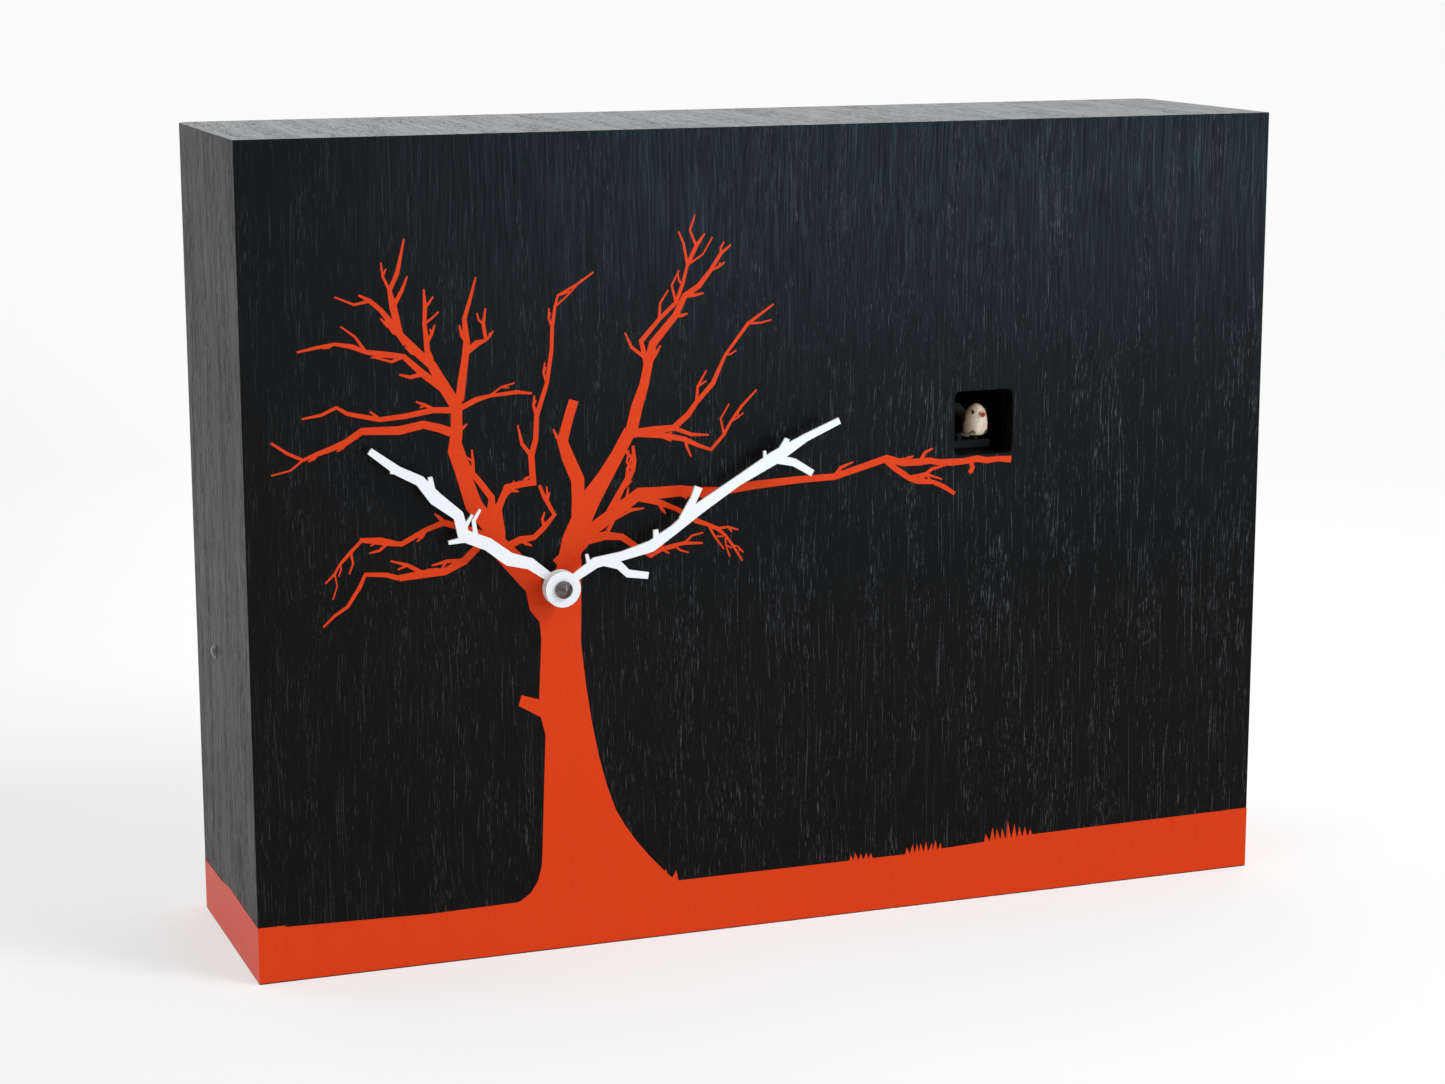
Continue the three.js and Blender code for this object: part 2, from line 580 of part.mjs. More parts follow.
// The ink lies on the front panel and both sides as one layer, folded round the front edges.
function buildPrint() {
  const inkFaces = [FRONT - INK, FRONT];
  const bounds = ([x, z]) => new THREE.Vector2(x, z);
  const ground = (line) => [...line, [line.at(-1)[0], BARE_EDGE], [line[0][0], BARE_EDGE]].map(bounds);
  const skin = cut(prism('z', caseOutline(INK), 0, 40), prism('z', caseOutline(0), -1, 41));
  const frontMask = prism('y', ground(GROUND_LINE), FRONT - 1, FRONT + 0.01);
  const leftMask = prism('x', ground(SIDE_GROUND_LINE), -SIDE - 1, 1 - INNER_SIDE);
  const rightMask = prism('x', ground([[-46, 21.8], [46, 21]]), INNER_SIDE, SIDE + 1);
  const openBack = box([-SIDE, SIDE], [BACK - 0.001, BACK + 1], [-1, 41]);
  const wrap = cut(skin, openBack).intersect(join(frontMask, leftMask, rightMask));
  const limbs = LIMBS.map(([start, end, points], i) => grownLine(start, end, points, i + 1));
  const branches = limbs.flatMap((limb, i) => [limb, ...twigs(limb, 7 * i + 2)]);
  const tufts = TUFTS.map((measure) => tuft(...measure));
  const drawn = [trunkOutline(), ...branches.map(limbOutline), ...tufts];
  const holes = [windowHole(FRONT - 1, FRONT + 1), frontBushHole(FRONT - 1, FRONT + 1)];
  const tree = drawn.map((outline) => prism('y', outline, ...inkFaces));
  part(clock, 'tree_print', cut(join(wrap, ...tree), ...holes), ORANGE_INK);
}

// ---------------------------------------------------------------- hands

// Branch-shaped hands: centre lines of [x, z, width] points, measured from the axis.
const MINUTE_LIMBS = [
  [[3, 3, 2.6], [11, 8, 3.6], [20, 9.5, 3], [30, 12, 3.8], [38, 17, 3.2], [46, 23, 3.9], [60, 31.5, 3.2],
    [73, 38.5, 4.4], [84, 44.5, 2.6], [96, 49.5, 2.2]],
  [[13, 8, 2], [19, 6.6, 2.8], [22, 3.6, 2.6], [29, 2.4, 2.2]],
  [[9, 7, 1.6], [8, 11, 0.9]],
  [[32, 14, 2.4], [31.6, 17.4, 1.6]],
  [[41, 20, 3], [45, 27, 2.4], [46.5, 30.5, 2.8]],
  [[73, 38, 3.6], [76, 41, 3], [77.5, 44.6, 1.6]],
  [[70, 37, 1.6], [69.5, 41, 0.9]],
  [[74, 38, 3], [80, 36.5, 2.6], [86.5, 32.5, 2.2]],
];
const HOUR_LIMBS = [
  [[-4, 4, 3], [-10, 8.6, 3.8], [-17, 10.6, 4.4], [-24, 16, 4.2], [-32, 19.4, 4.4], [-33.6, 26, 3.6],
    [-41, 32, 4.4], [-46, 38, 3.4], [-53, 41.6, 3], [-62, 48.5, 2.2]],
  [[-29, 18.4, 2.4], [-37, 17.4, 1.2]],
  [[-28, 19, 1.6], [-28.6, 24, 1.3], [-26.4, 27.5, 0.8]],
  [[-31.5, 22, 1.4], [-29, 26, 0.8]],
  [[-42, 34, 2.4], [-42.6, 39, 1.4]],
  [[-52, 41, 1.6], [-55.5, 41.4, 1]],
];

function hand(limbs, boreRadius, frontFace) {
  const faces = [frontFace, frontFace + HAND_THICK];
  const branches = limbs.map((limb) => prism('y', limbOutline(limb), ...faces));
  const disc = rod('y', HUB_DISC_RADIUS, ...faces, 0, 0, 40);
  return cut(join(disc, ...branches), rod('y', boreRadius, frontFace - 1, frontFace + 2));
}

function buildHands() {
  const hub = group(HUB_X, 0, HUB_Z);
  part(hub, 'hour_hand', hand(HOUR_LIMBS, HOUR_PIPE_RADIUS, HOUR_FACE), WHITE_PAINT);
  part(hub, 'minute_hand', hand(MINUTE_LIMBS, ARBOR_RADIUS, MINUTE_FACE), WHITE_PAINT);
  const bottom = MINUTE_FACE;
  const profile = [[ARBOR_RADIUS, bottom], [2.85, bottom], [2.85, bottom - 1.2], [0, bottom - 3.4],
    [0, ARBOR_TIP], [ARBOR_RADIUS, ARBOR_TIP], [ARBOR_RADIUS, bottom]];
  part(hub, 'hand_nut', turned(profile.reverse(), 20), DARK_STEEL);
}

// ---------------------------------------------------------------- quartz movement

// Distance between the axes of two meshed gears.
function axisDistance(module, teeth, otherTeeth) {
  return (module * (teeth + otherTeeth)) / 2;
}

const CENTRE = [0, 0];
const THIRD_BEARING = degrees(110);
const INTERMEDIATE_BEARING = degrees(10);
const ROTOR_BEARING = degrees(-35);
const MOTION_BEARING = degrees(170);
const KNOB_BEARING = degrees(228);
const THIRD = stepFrom(CENTRE, axisDistance(TRAIN_MODULE, TEETH.centre, TEETH.pinion), THIRD_BEARING);
const INTERMEDIATE = stepFrom(
  THIRD, axisDistance(TRAIN_MODULE, TEETH.third, TEETH.pinion), INTERMEDIATE_BEARING);
const ROTOR = stepFrom(
  INTERMEDIATE, axisDistance(TRAIN_MODULE, TEETH.intermediate, TEETH.pinion), ROTOR_BEARING);
const MOTION = stepFrom(CENTRE, axisDistance(MOTION_MODULE, TEETH.cannon, TEETH.motion), MOTION_BEARING);
const KNOB = stepFrom(MOTION, axisDistance(MOTION_MODULE, TEETH.motion, TEETH.cannon), KNOB_BEARING);
const KNOB_RIM = { addendum: 0.6, dedendum: 0, tip: 0.5, root: 0.7 }; // grip round the setting knob

const PIVOT_FRONT = INNER_FRONT + 0.7; // blind pivot holes in the housing's two walls
const PIVOT_REAR = MOVEMENT_REAR - 0.7;
// A running hole clears the corners of the shaft in it.
const runningHole = (radius, sides) => radius / Math.cos(Math.PI / sides) + 0.08;

function gear(teeth, module, phase, tooth, from, to, [across, up], axis = 'y') {
  return prism(axis, gearOutline(teeth, module, phase, tooth, across, up), from, to);
}

// A wheel and its smaller pinion on one arbor.
function wheelAndPinion(centre, wheel, pinion, arborEnds = [PIVOT_FRONT, PIVOT_REAR]) {
  return join(
    gear(wheel.teeth, wheel.module, wheel.phase, WHEEL_TOOTH, ...wheel.faces, centre),
    gear(pinion.teeth, pinion.module, pinion.phase, PINION_TOOTH, ...pinion.faces, centre),
    rod('y', STAFF_RADIUS, ...arborEnds, ...centre, 12),
  );
}

function buildHousing(movement) {
  const outline = (inset) => roundedBox(
    2 * (MOVEMENT_HALF - inset), MOVEMENT_TOP - MOVEMENT_FLOOR - 2 * inset, 3 - inset / 2,
    0, (MOVEMENT_TOP + MOVEMENT_FLOOR) / 2);
  const pivots = [THIRD, INTERMEDIATE, ROTOR, MOTION].map((centre) =>
    rod('y', runningHole(STAFF_RADIUS, 10), PIVOT_FRONT - 0.2, PIVOT_REAR + 0.2, ...centre, 10));
  const bush = rod('y', BUSH_RADIUS, FRONT - 3.4, INNER_FRONT, 0, 0, 24);
  const pipeHole = rod('y', runningHole(HOUR_PIPE_RADIUS, ROUND), FRONT - 5, INNER_FRONT + SHELL + 1);
  const base = cut(
    join(prism('y', outline(0), INNER_FRONT, SHELL_SPLIT), bush),
    prism('y', outline(SHELL), INNER_FRONT + SHELL, SHELL_SPLIT + 1),
    ...pivots,
    pipeHole,
  );
  part(movement, 'movement_base', base, BLACK_PLASTIC);

  const inner = [SHELL - MOVEMENT_HALF, MOVEMENT_HALF - SHELL];
  const rearWall = [MOVEMENT_REAR - 3, MOVEMENT_REAR + 1];
  const bayDepths = [INNER_FRONT + SHELL + GAP, MOVEMENT_REAR];
  const bayWall = box(inner, bayDepths, [CELL_BAY_TOP, CELL_BAY_TOP + 0.7]);
  const bayOpening = box([-27, 27], rearWall, [MOVEMENT_FLOOR + 1.2, CELL_BAY_TOP]);
  const knobHole = rod('y', KNOB_SHAFT_RADIUS + 0.6, ...rearWall, ...KNOB, 14);
  const arborHole = rod('y', runningHole(1, 12), PIVOT_REAR - 2, PIVOT_REAR + 0.2, 0, 0, 12);
  const cover = cut(
    join(cut(prism('y', outline(0), SHELL_SPLIT, MOVEMENT_REAR),
      prism('y', outline(SHELL), SHELL_SPLIT - 1, MOVEMENT_REAR - SHELL)), bayWall),
    bayOpening,
    knobHole,
    arborHole,
    ...pivots,
  );
  part(movement, 'movement_cover', cover, BLACK_PLASTIC);
}

function buildTrain(movement) {
  const thirdPhase = meshPhase(TEETH.centre, 0, THIRD_BEARING, TEETH.pinion);
  const intermediatePhase = meshPhase(TEETH.third, 0, INTERMEDIATE_BEARING, TEETH.pinion);
  const rotorPhase = meshPhase(TEETH.intermediate, 0, ROTOR_BEARING, TEETH.pinion);
  const third = wheelAndPinion(THIRD,
    { teeth: TEETH.third, module: TRAIN_MODULE, phase: 0, faces: [-29.5, -28.7] },
    { teeth: TEETH.pinion, module: TRAIN_MODULE, phase: thirdPhase, faces: [-31.9, -29.5] });
  const intermediate = wheelAndPinion(INTERMEDIATE,
    { teeth: TEETH.intermediate, module: TRAIN_MODULE, phase: 0, faces: [-27.5, -26.7] },
    { teeth: TEETH.pinion, module: TRAIN_MODULE, phase: intermediatePhase, faces: [-29.9, -27.5] });
  const rotor = join(
    gear(TEETH.pinion, TRAIN_MODULE, rotorPhase, PINION_TOOTH, -27.9, -26.2, ROTOR),
    rod('y', 3, -26.2, -23, ...ROTOR, 16),
    rod('y', STAFF_RADIUS, PIVOT_FRONT, PIVOT_REAR, ...ROTOR, 12),
  );
  part(movement, 'third_wheel', third, WHITE_PLASTIC);
  part(movement, 'intermediate_wheel', intermediate, WHITE_PLASTIC);
  part(movement, 'rotor', rotor, DARK_STEEL);
}

// The motion work turns the hour pipe once for twelve turns of the minute arbor.
function buildMotionWork(movement) {
  const cannonFaces = [-33.6, -32.6];
  const pipeFaces = [-35.1, -34.1];
  const motionPhase = meshPhase(TEETH.cannon, 0, MOTION_BEARING, TEETH.motion);
  const hourPhase = meshPhase(TEETH.motionPinion, 0, MOTION_BEARING + Math.PI, TEETH.hour);
  const knobPhase = meshPhase(TEETH.motion, motionPhase, KNOB_BEARING, TEETH.cannon);
  const arbor = join(
    gear(TEETH.cannon, MOTION_MODULE, 0, PINION_TOOTH, ...cannonFaces, CENTRE),
    gear(TEETH.centre, TRAIN_MODULE, 0, WHEEL_TOOTH, -31.5, -30.7, CENTRE),
    rod('y', 2.2, -32.6, -31.5),
    rod('y', ARBOR_RADIUS, ARBOR_TIP, -30.7),
    rod('y', 1, -30.7, PIVOT_REAR, 0, 0, 12),
  );
  const motionWheel = wheelAndPinion(MOTION,
    { teeth: TEETH.motion, module: MOTION_MODULE, phase: motionPhase, faces: cannonFaces },
    { teeth: TEETH.motionPinion, module: MOTION_MODULE, phase: 0, faces: [pipeFaces[0], cannonFaces[0]] });
  const hourWheel = cut(
    join(
      gear(TEETH.hour, MOTION_MODULE, hourPhase, WHEEL_TOOTH, ...pipeFaces, CENTRE),
      rod('y', HOUR_PIPE_RADIUS, FRONT - 6.4, pipeFaces[1]),
    ),
    rod('y', runningHole(ARBOR_RADIUS, ROUND), FRONT - 8, pipeFaces[1] + 1),
  );
  const knob = join(
    gear(TEETH.cannon, MOTION_MODULE, knobPhase, PINION_TOOTH, ...cannonFaces, KNOB),
    rod('y', KNOB_SHAFT_RADIUS, cannonFaces[1], MOVEMENT_REAR + GAP, ...KNOB, 14),
    gear(14, 0.72, 0, KNOB_RIM, MOVEMENT_REAR + GAP, MOVEMENT_REAR + 3.5, KNOB),
  );
  part(movement, 'minute_arbor', arbor, BRASS);
  part(movement, 'motion_wheel', motionWheel, WHITE_PLASTIC);
  part(movement, 'hour_wheel', hourWheel, WHITE_PLASTIC);
  part(movement, 'setting_knob', knob, WHITE_PLASTIC);
}

// Stepping motor: a flat stator holds the rotor, and its coil stands on the right.
function buildStepMotor(movement) {
  const stator = cut(
    box([9, 26.8], [-25.3, -24.3], [-12, 21]),
    box([18, 26.9], [-25.4, -24.2], [-7.5, 16.5]),
    rod('y', 3.6, -26, -23, ...ROTOR),
  );
  const coil = join(
    rod('z', 2.7, -6.5, 15.5, 22.9, -26.2, 14),
    box([21.9, 23.9], [-24.3, -23.5], [-11.5, 20.5]),
    box([21.9, 23.9], [-26, -23.6], [-7, 16]),
  );
  part(movement, 'stator', stator, STEEL);
  part(movement, 'coil', coil, COPPER);
  const board = join(
    box([-26.5, -8.5], [-24.4, -23.2], [7, 25]),
    rod('y', 3.6, -23.2, -22.2, -17.5, 16, 12),
    rod('x', 1.1, -24, -17, -22.4, 23, 8),
  );
  part(movement, 'movement_board', board, GREEN_BOARD);
}

// One AA cell lying along X, with its positive cap at the right.
function cell(y, z, left) {
  const right = left + CELL_LENGTH;
  return join(
    rod('x', CELL_RADIUS, left, right - 1.2, y, z),
    rod('x', 2.6, right - 2, right, y, z, 12),
  );
}

function buildMovement() {
  const movement = group(HUB_X, 0, HUB_Z);
  buildHousing(movement);
  buildTrain(movement);
  buildMotionWork(movement);
  buildStepMotor(movement);
  const bushHole = rod('y', BUSH_RADIUS + 0.1, FRONT - 4, FRONT + 1, 0, 0, 24);
  const washerFaces = [FRONT - 0.5, FRONT - INK];
  const hexagon = circle(4.5, 0, 0, 6);
  part(movement, 'dial_washer', cut(rod('y', 4.6, ...washerFaces, 0, 0, 24), bushHole), STEEL);
  part(movement, 'fixing_nut', cut(prism('y', hexagon, FRONT - 2.7, washerFaces[0]), bushHole), BRASS);
  const cellHeight = (CELL_BAY_TOP + MOVEMENT_FLOOR + 1.2) / 2;
  part(movement, 'movement_cell', cell(-28, cellHeight, -CELL_LENGTH / 2), CELL_SKIN);
}

// ---------------------------------------------------------------- cuckoo

const DRIVE_X = RACK_LINE + (RACK_MODULE * DRIVE_TEETH) / 2;
const MOTOR_X = DRIVE_X + axisDistance(REDUCTION.module, REDUCTION.teeth, REDUCTION.pinion);

// Carriage: a platform in the window, and a toothed bar that runs back from it.
function birdCarriage() {
  const pitch = Math.PI * RACK_MODULE;
  const root = RACK_LINE - WHEEL_TOOTH.dedendum * RACK_MODULE;
  const tip = RACK_LINE + WHEEL_TOOTH.addendum * RACK_MODULE;
  const rack = [[BAR_LEFT, BAR_REAR], [BAR_LEFT, PLATFORM_FRONT + 18], [root, PLATFORM_FRONT + 18]];
  for (let i = -1; i < RACK_TEETH; i += 1) {
    const middle = DRIVE_Y + i * pitch;
    const foot = (WHEEL_TOOTH.root * pitch) / 2;
    const crest = (WHEEL_TOOTH.tip * pitch) / 2;
    rack.push([root, middle - foot], [tip, middle - crest], [tip, middle + crest], [root, middle + foot]);
  }
  rack.push([root, BAR_REAR]);
  const bar = prism('z', rack.map(([x, y]) => new THREE.Vector2(x, y)), CARRIAGE_BOTTOM, CARRIAGE_TOP);
  const platform = box([WINDOW_X - PLATFORM_HALF, WINDOW_X + PLATFORM_HALF],
    [PLATFORM_FRONT, PLATFORM_FRONT + 20], [CARRIAGE_BOTTOM, CARRIAGE_TOP]);
  const ears = [WINDOW_X - 3, WINDOW_X + 3].map((x) =>
    box([x - 0.7, x + 0.7], [BOW_Y - 1.3, BOW_Y + 1.3], [CARRIAGE_TOP - 0.1, BOW_Z + 1.2]));
  const pinHole = rod('x', 0.75, WINDOW_X - 5, WINDOW_X + 5, BOW_Y, BOW_Z, 12);
  return cut(join(platform, bar, ...ears), pinHole);
}

function bowLever() {
  const arm = [[BOW_Y - 1, BOW_Z - 0.9], [BOW_Y + 1.1, BOW_Z - 0.6], [BOW_Y + 0.6, 164.4], [BOW_Y - 3, 167],
    [BOW_Y - 5.6, 164.2]];
  const body = ball(BIRD_RADII.map((radius) => radius + GAP), BIRD_CENTRE);
  const stem = prism('x', arm.map(([y, z]) => new THREE.Vector2(y, z)), WINDOW_X - 2, WINDOW_X + 2);
  return join(cut(stem, body), rod('x', 0.62, WINDOW_X - 3.9, WINDOW_X + 3.9, BOW_Y, BOW_Z, 10));
}

function birdBody() {
  const [x, y] = BIRD_CENTRE;
  const beak = solidOf(new THREE.ConeGeometry(1.05, 2.4, 8).rotateX(Math.PI).translate(x, y - 5, 170.8));
  return join(ball(BIRD_RADII, BIRD_CENTRE, 16, 10), beak);
}

function birdTail() {
  const side = [[-34.2, 166.2], [-20, 170.8], [-19.6, 172.6], [-34.2, 169.4]];
  const blade = prism('x', side.map(([y, z]) => new THREE.Vector2(y, z)), WINDOW_X - 1.8, WINDOW_X + 1.8);
  return cut(blade, ball(BIRD_RADII.map((radius) => radius + GAP), BIRD_CENTRE));
}

function birdHood() {
  const wide = (half) => [WINDOW_X - half, WINDOW_X + half];
  const outside = box(wide(HOOD_HALF), [INNER_FRONT, HOOD_REAR], [DECK, HOOD_TOP]);
  const inside = box(
    wide(HOOD_HALF - SHELL), [INNER_FRONT - 1, HOOD_REAR - SHELL], [DECK - 1, HOOD_TOP - SHELL]);
  const barHole = box(
    [BAR_LEFT - 0.5, RACK_LINE + 1], [HOOD_REAR - 2, HOOD_REAR + 1], [DECK - 1, CARRIAGE_TOP + 0.5]);
  return cut(outside, inside, barHole);
}

// Plate under the cuckoo, with a flange on the front panel and guides along the toothed bar.
function mechanismPlate() {
  const across = [WINDOW_X - HOOD_HALF, MOTOR_X + 10];
  const guide = [-8, BAR_REAR];
  return cut(
    join(
      box(across, [INNER_FRONT, PLATE_REAR], [DECK - PLATE_THICK, DECK]),
      box(across, [INNER_FRONT, INNER_FRONT + 3], [DECK - 12, DECK - 2]),
      box([BAR_LEFT - 2.1, BAR_LEFT - 0.15], guide, [DECK - 1, CARRIAGE_TOP + 1.2]),
      box([BAR_LEFT - 2.1, BAR_LEFT + 1], guide, [CARRIAGE_TOP + GAP, CARRIAGE_TOP + 1.2]),
      box([RACK_LINE + 0.8, RACK_LINE + 2.8], [15, BAR_REAR], [DECK - 1, CARRIAGE_TOP + 0.5]),
      rod('z', DRIVE_PIN_RADIUS, DECK - 1, REDUCTION_BOTTOM + 4, DRIVE_X, DRIVE_Y, 16),
    ),
    rod('z', 2.8, DECK - 4, DECK + 1, MOTOR_X, DRIVE_Y),
  );
}

function buildCuckoo() {
  part(clock, 'bird_hood', birdHood(), BLACK_PLASTIC);
  part(clock, 'mechanism_plate', mechanismPlate(), GREY_PLASTIC);

  const toothToRack = Math.PI + Math.PI / DRIVE_TEETH;
  const drive = [DRIVE_X, DRIVE_Y];
  const driveFaces = [DECK + GAP, REDUCTION_BOTTOM];
  const wheelFaces = [REDUCTION_BOTTOM, REDUCTION_BOTTOM + 1.6];
  const driveGear = cut(
    join(
      gear(DRIVE_TEETH, RACK_MODULE, toothToRack, PINION_TOOTH, ...driveFaces, drive, 'z'),
      gear(REDUCTION.teeth, REDUCTION.module, 0, WHEEL_TOOTH, ...wheelFaces, drive, 'z'),
    ),
    rod('z', runningHole(DRIVE_PIN_RADIUS, 16), DECK - 1, HOOD_TOP, ...drive, 16),
  );
  const pinionPhase = meshPhase(REDUCTION.teeth, 0, 0, REDUCTION.pinion);
  const pinionFaces = [REDUCTION_BOTTOM - 0.4, REDUCTION_BOTTOM + 2.4];
  const motorAxis = [MOTOR_X, DRIVE_Y];
  const motorPinion = join(
    gear(REDUCTION.pinion, REDUCTION.module, pinionPhase, PINION_TOOTH, ...pinionFaces, motorAxis, 'z'),
    rod('z', 1, DECK - 2, pinionFaces[0], ...motorAxis, 12),
  );
  part(clock, 'drive_gear', driveGear, WHITE_PLASTIC);
  part(clock, 'motor_pinion', motorPinion, BRASS);

  const motor = cut(
    join(
      rod('z', 7.7, MOTOR_BOTTOM, DECK - 3, ...motorAxis, 24),
      rod('z', 2.6, DECK - 3, DECK - 1.5, ...motorAxis),
      rod('z', 3, MOTOR_BOTTOM - 1.5, MOTOR_BOTTOM, ...motorAxis, 14),
    ),
    rod('z', 1.15, DECK - 2.3, DECK, ...motorAxis, 12),
  );
  part(clock, 'bird_motor', motor, STEEL);
  part(clock, 'bird_carriage', birdCarriage(), BLACK_PLASTIC);
  part(clock, 'bow_lever', bowLever(), BIRD_WOOD);
  part(clock, 'bird_body', birdBody(), BIRD_PAINT);
  part(clock, 'bird_tail', birdTail(), BIRD_WOOD);
}

// ---------------------------------------------------------------- sound box

function controlBox() {
  const rearWall = [BOX_REAR - BOX_WALL - 1, BOX_REAR + 1];
  const inner = [INNER_FRONT + BOX_WALL, BOX_REAR - BOX_WALL];
  const halfHeight = BOX_HALF_HEIGHT - BOX_WALL;
  const inside = (left, right) => box([left, right], inner, [-halfHeight, halfHeight]);
  const slots = SWITCHES.map(([, x]) => box([x - 6, x + 6], rearWall, [SWITCH_Z - 2, SWITCH_Z + 2]));
  const lugHeights = [HINGE_Z - HINGE_LUG_RADIUS, HINGE_Z + HINGE_LUG_RADIUS];
  const lugs = [[-57.5, -55.8], [-1.7, 0]].flatMap((wide) => [
    box(wide, [BOX_REAR - 1, HINGE_Y], lugHeights),
    rod('x', HINGE_LUG_RADIUS, ...wide, HINGE_Y, HINGE_Z, 16),
  ]);
  return cut(
    join(
      box([-BOX_HALF_WIDTH, BOX_HALF_WIDTH], [INNER_FRONT, BOX_REAR], [-BOX_HALF_HEIGHT, BOX_HALF_HEIGHT]),
      ...lugs,
    ),
    inside(BOX_WALL - BOX_HALF_WIDTH, BAY_RIGHT),
    inside(BAY_RIGHT + BOX_WALL, BOX_HALF_WIDTH - BOX_WALL),
    box([-55, -2.5], rearWall, [-16, 16]),
    ...slots,
    rod('y', 3.7, ...rearWall, BUTTON_X, BUTTON_Z),
    rod('x', 0.85, -60, 2, HINGE_Y, HINGE_Z, 12),
  );
}

function cellDoor() {
  return join(
    box([-57, -0.5], [BOX_REAR + 0.4, BOX_REAR + 2], [-17.5, 18]),
    box([-55.4, -2.1], [BOX_REAR + 0.4, BOX_REAR + 2], [HINGE_Z, -17.4]),
    box([-34, -24], [BOX_REAR + 0.4, BOX_REAR + 3.4], [14.5, 16]),
    rod('x', 1.3, -55.4, -2.1, HINGE_Y, HINGE_Z, 12),
    rod('x', 0.7, -57.2, -0.2, HINGE_Y, HINGE_Z, 12),
  );
}

function slideKnob(x) {
  const left = x - 5.8;
  const inside = BOX_REAR - BOX_WALL;
  return join(
    box([left, left + 5.6], [inside - 0.4, BOX_REAR + SWITCH_REACH], [SWITCH_Z - 1.8, SWITCH_Z + 1.8]),
    box([left - 5, left + 10.6], [inside - 1.6, inside - GAP], [SWITCH_Z - 3.6, SWITCH_Z + 3.6]),
  );
}

function buildSoundBox() {
  const place = group(CONTROL_X, 0, CONTROL_Z);
  part(place, 'control_box', controlBox(), BLACK_PLASTIC);
  const board = join(
    box([1.5, 55], [-33, -31.4], [-27, 27]),
    box([20, 32], [-31.4, -29], [-4, 8]),
    rod('y', 3, -31.4, -23, 44, -12, 12),
    box([8, 16], [-31.4, -27], [-24, -16]),
  );
  part(place, 'control_board', board, GREEN_BOARD);
  part(place, 'control_cell_upper', cell(-25, 8, -54.5), CELL_SKIN);
  part(place, 'control_cell_lower', cell(-25, -8, -54.5), CELL_SKIN);
  part(place, 'cell_door', cellDoor(), BLACK_PLASTIC);
  for (const [name, x] of SWITCHES) part(place, name, slideKnob(x), GREY_PLASTIC);
  const button = join(
    rod('y', 3.4, BOX_REAR - BOX_WALL - GAP - 0.1, BOX_REAR + 2, BUTTON_X, BUTTON_Z),
    rod('y', 4.8, BOX_REAR - BOX_WALL - 1.6, BOX_REAR - BOX_WALL - GAP, BUTTON_X, BUTTON_Z),
  );
  part(place, 'test_button', button, GREY_PLASTIC);
}

function buildSpeaker() {
  const face = COVER_FRONT;
  const magnet = face - SPEAKER_DEPTH;
  const profile = [[0, magnet], [14, magnet], [14, magnet + 8], [17, magnet + 8], [31, face - 2],
    [33, face - 2], [33, face], [30.5, face], [29, face - 2.5], [27, face - 1.5], [8, face - 6],
    [0, face - 6]];
  part(clock, 'loudspeaker', turned(profile, 24).translate([SPEAKER_X, 0, SPEAKER_Z]), DARK_STEEL);
}

// Clear dome on the left side, with its body in the panel and a collar inside.
function buildSensor() {
  const stem = rod('x', SENSOR_RADIUS, -SIDE - 1, 5 - INNER_SIDE, SENSOR_Y, SENSOR_Z, 12);
  const dome = ball(Array(3).fill(SENSOR_RADIUS), [-SIDE - 0.6, SENSOR_Y, SENSOR_Z], 12, 6);
  const collar = rod('x', 4, -INNER_SIDE, 1.5 - INNER_SIDE, SENSOR_Y, SENSOR_Z, 12);
  part(clock, 'light_sensor', join(stem, dome, collar), CLEAR_LENS);
}

// Leads between the units, each clipped along the inside of the case.
function buildLeads() {
  const boxLeft = CONTROL_X - BOX_HALF_WIDTH - GAP;
  const boxTop = CONTROL_Z + BOX_HALF_HEIGHT + GAP;
  const routes = {
    sensor_lead: [[-166.4, SENSOR_Y, SENSOR_Z], [-160, SENSOR_Y - 1, 97], [-148, -22, 50], [-120, -30, 26],
      [-40, -30, 24], [8, -28, 42], [boxLeft - 8, -26, 46], [boxLeft - 0.3, -26, 46]],
    clock_lead: [[HUB_X + MOVEMENT_HALF + 0.8, -26, 112], [-40, -27, 111], [-10, -31, 84], [14, -28, 76],
      [boxLeft, -26, 76]],
    motor_lead: [[MOTOR_X, DRIVE_Y, DECK - 24.8], [MOTOR_X, 2, 122], [101, -10, 108], [104, -22, 99],
      [104, -24, boxTop]],
    speaker_lead: [[18, COVER_FRONT - SPEAKER_DEPTH, 176], [26, 8, 160], [34, -16, 132], [42, -24, 106],
      [44, -24, boxTop]],
  };
  for (const [name, points] of Object.entries(routes)) {
    part(clock, name, lead(points, LEAD_RADIUS, 14), GREY_PLASTIC);
  }
}

buildPanels();
buildBack();
buildPrint();
buildHands();
buildMovement();
buildCuckoo();
buildSoundBox();
buildSpeaker();
buildSensor();
buildLeads();

export default clock;
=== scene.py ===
"""Looks of a battery wall cuckoo clock: veneered case, printed tree, painted hands and bird,
and the movement and sound box that show through the hatches in its back. Metres throughout."""

import json
import math

import bmesh
import bpy
from mathutils import Matrix, Vector


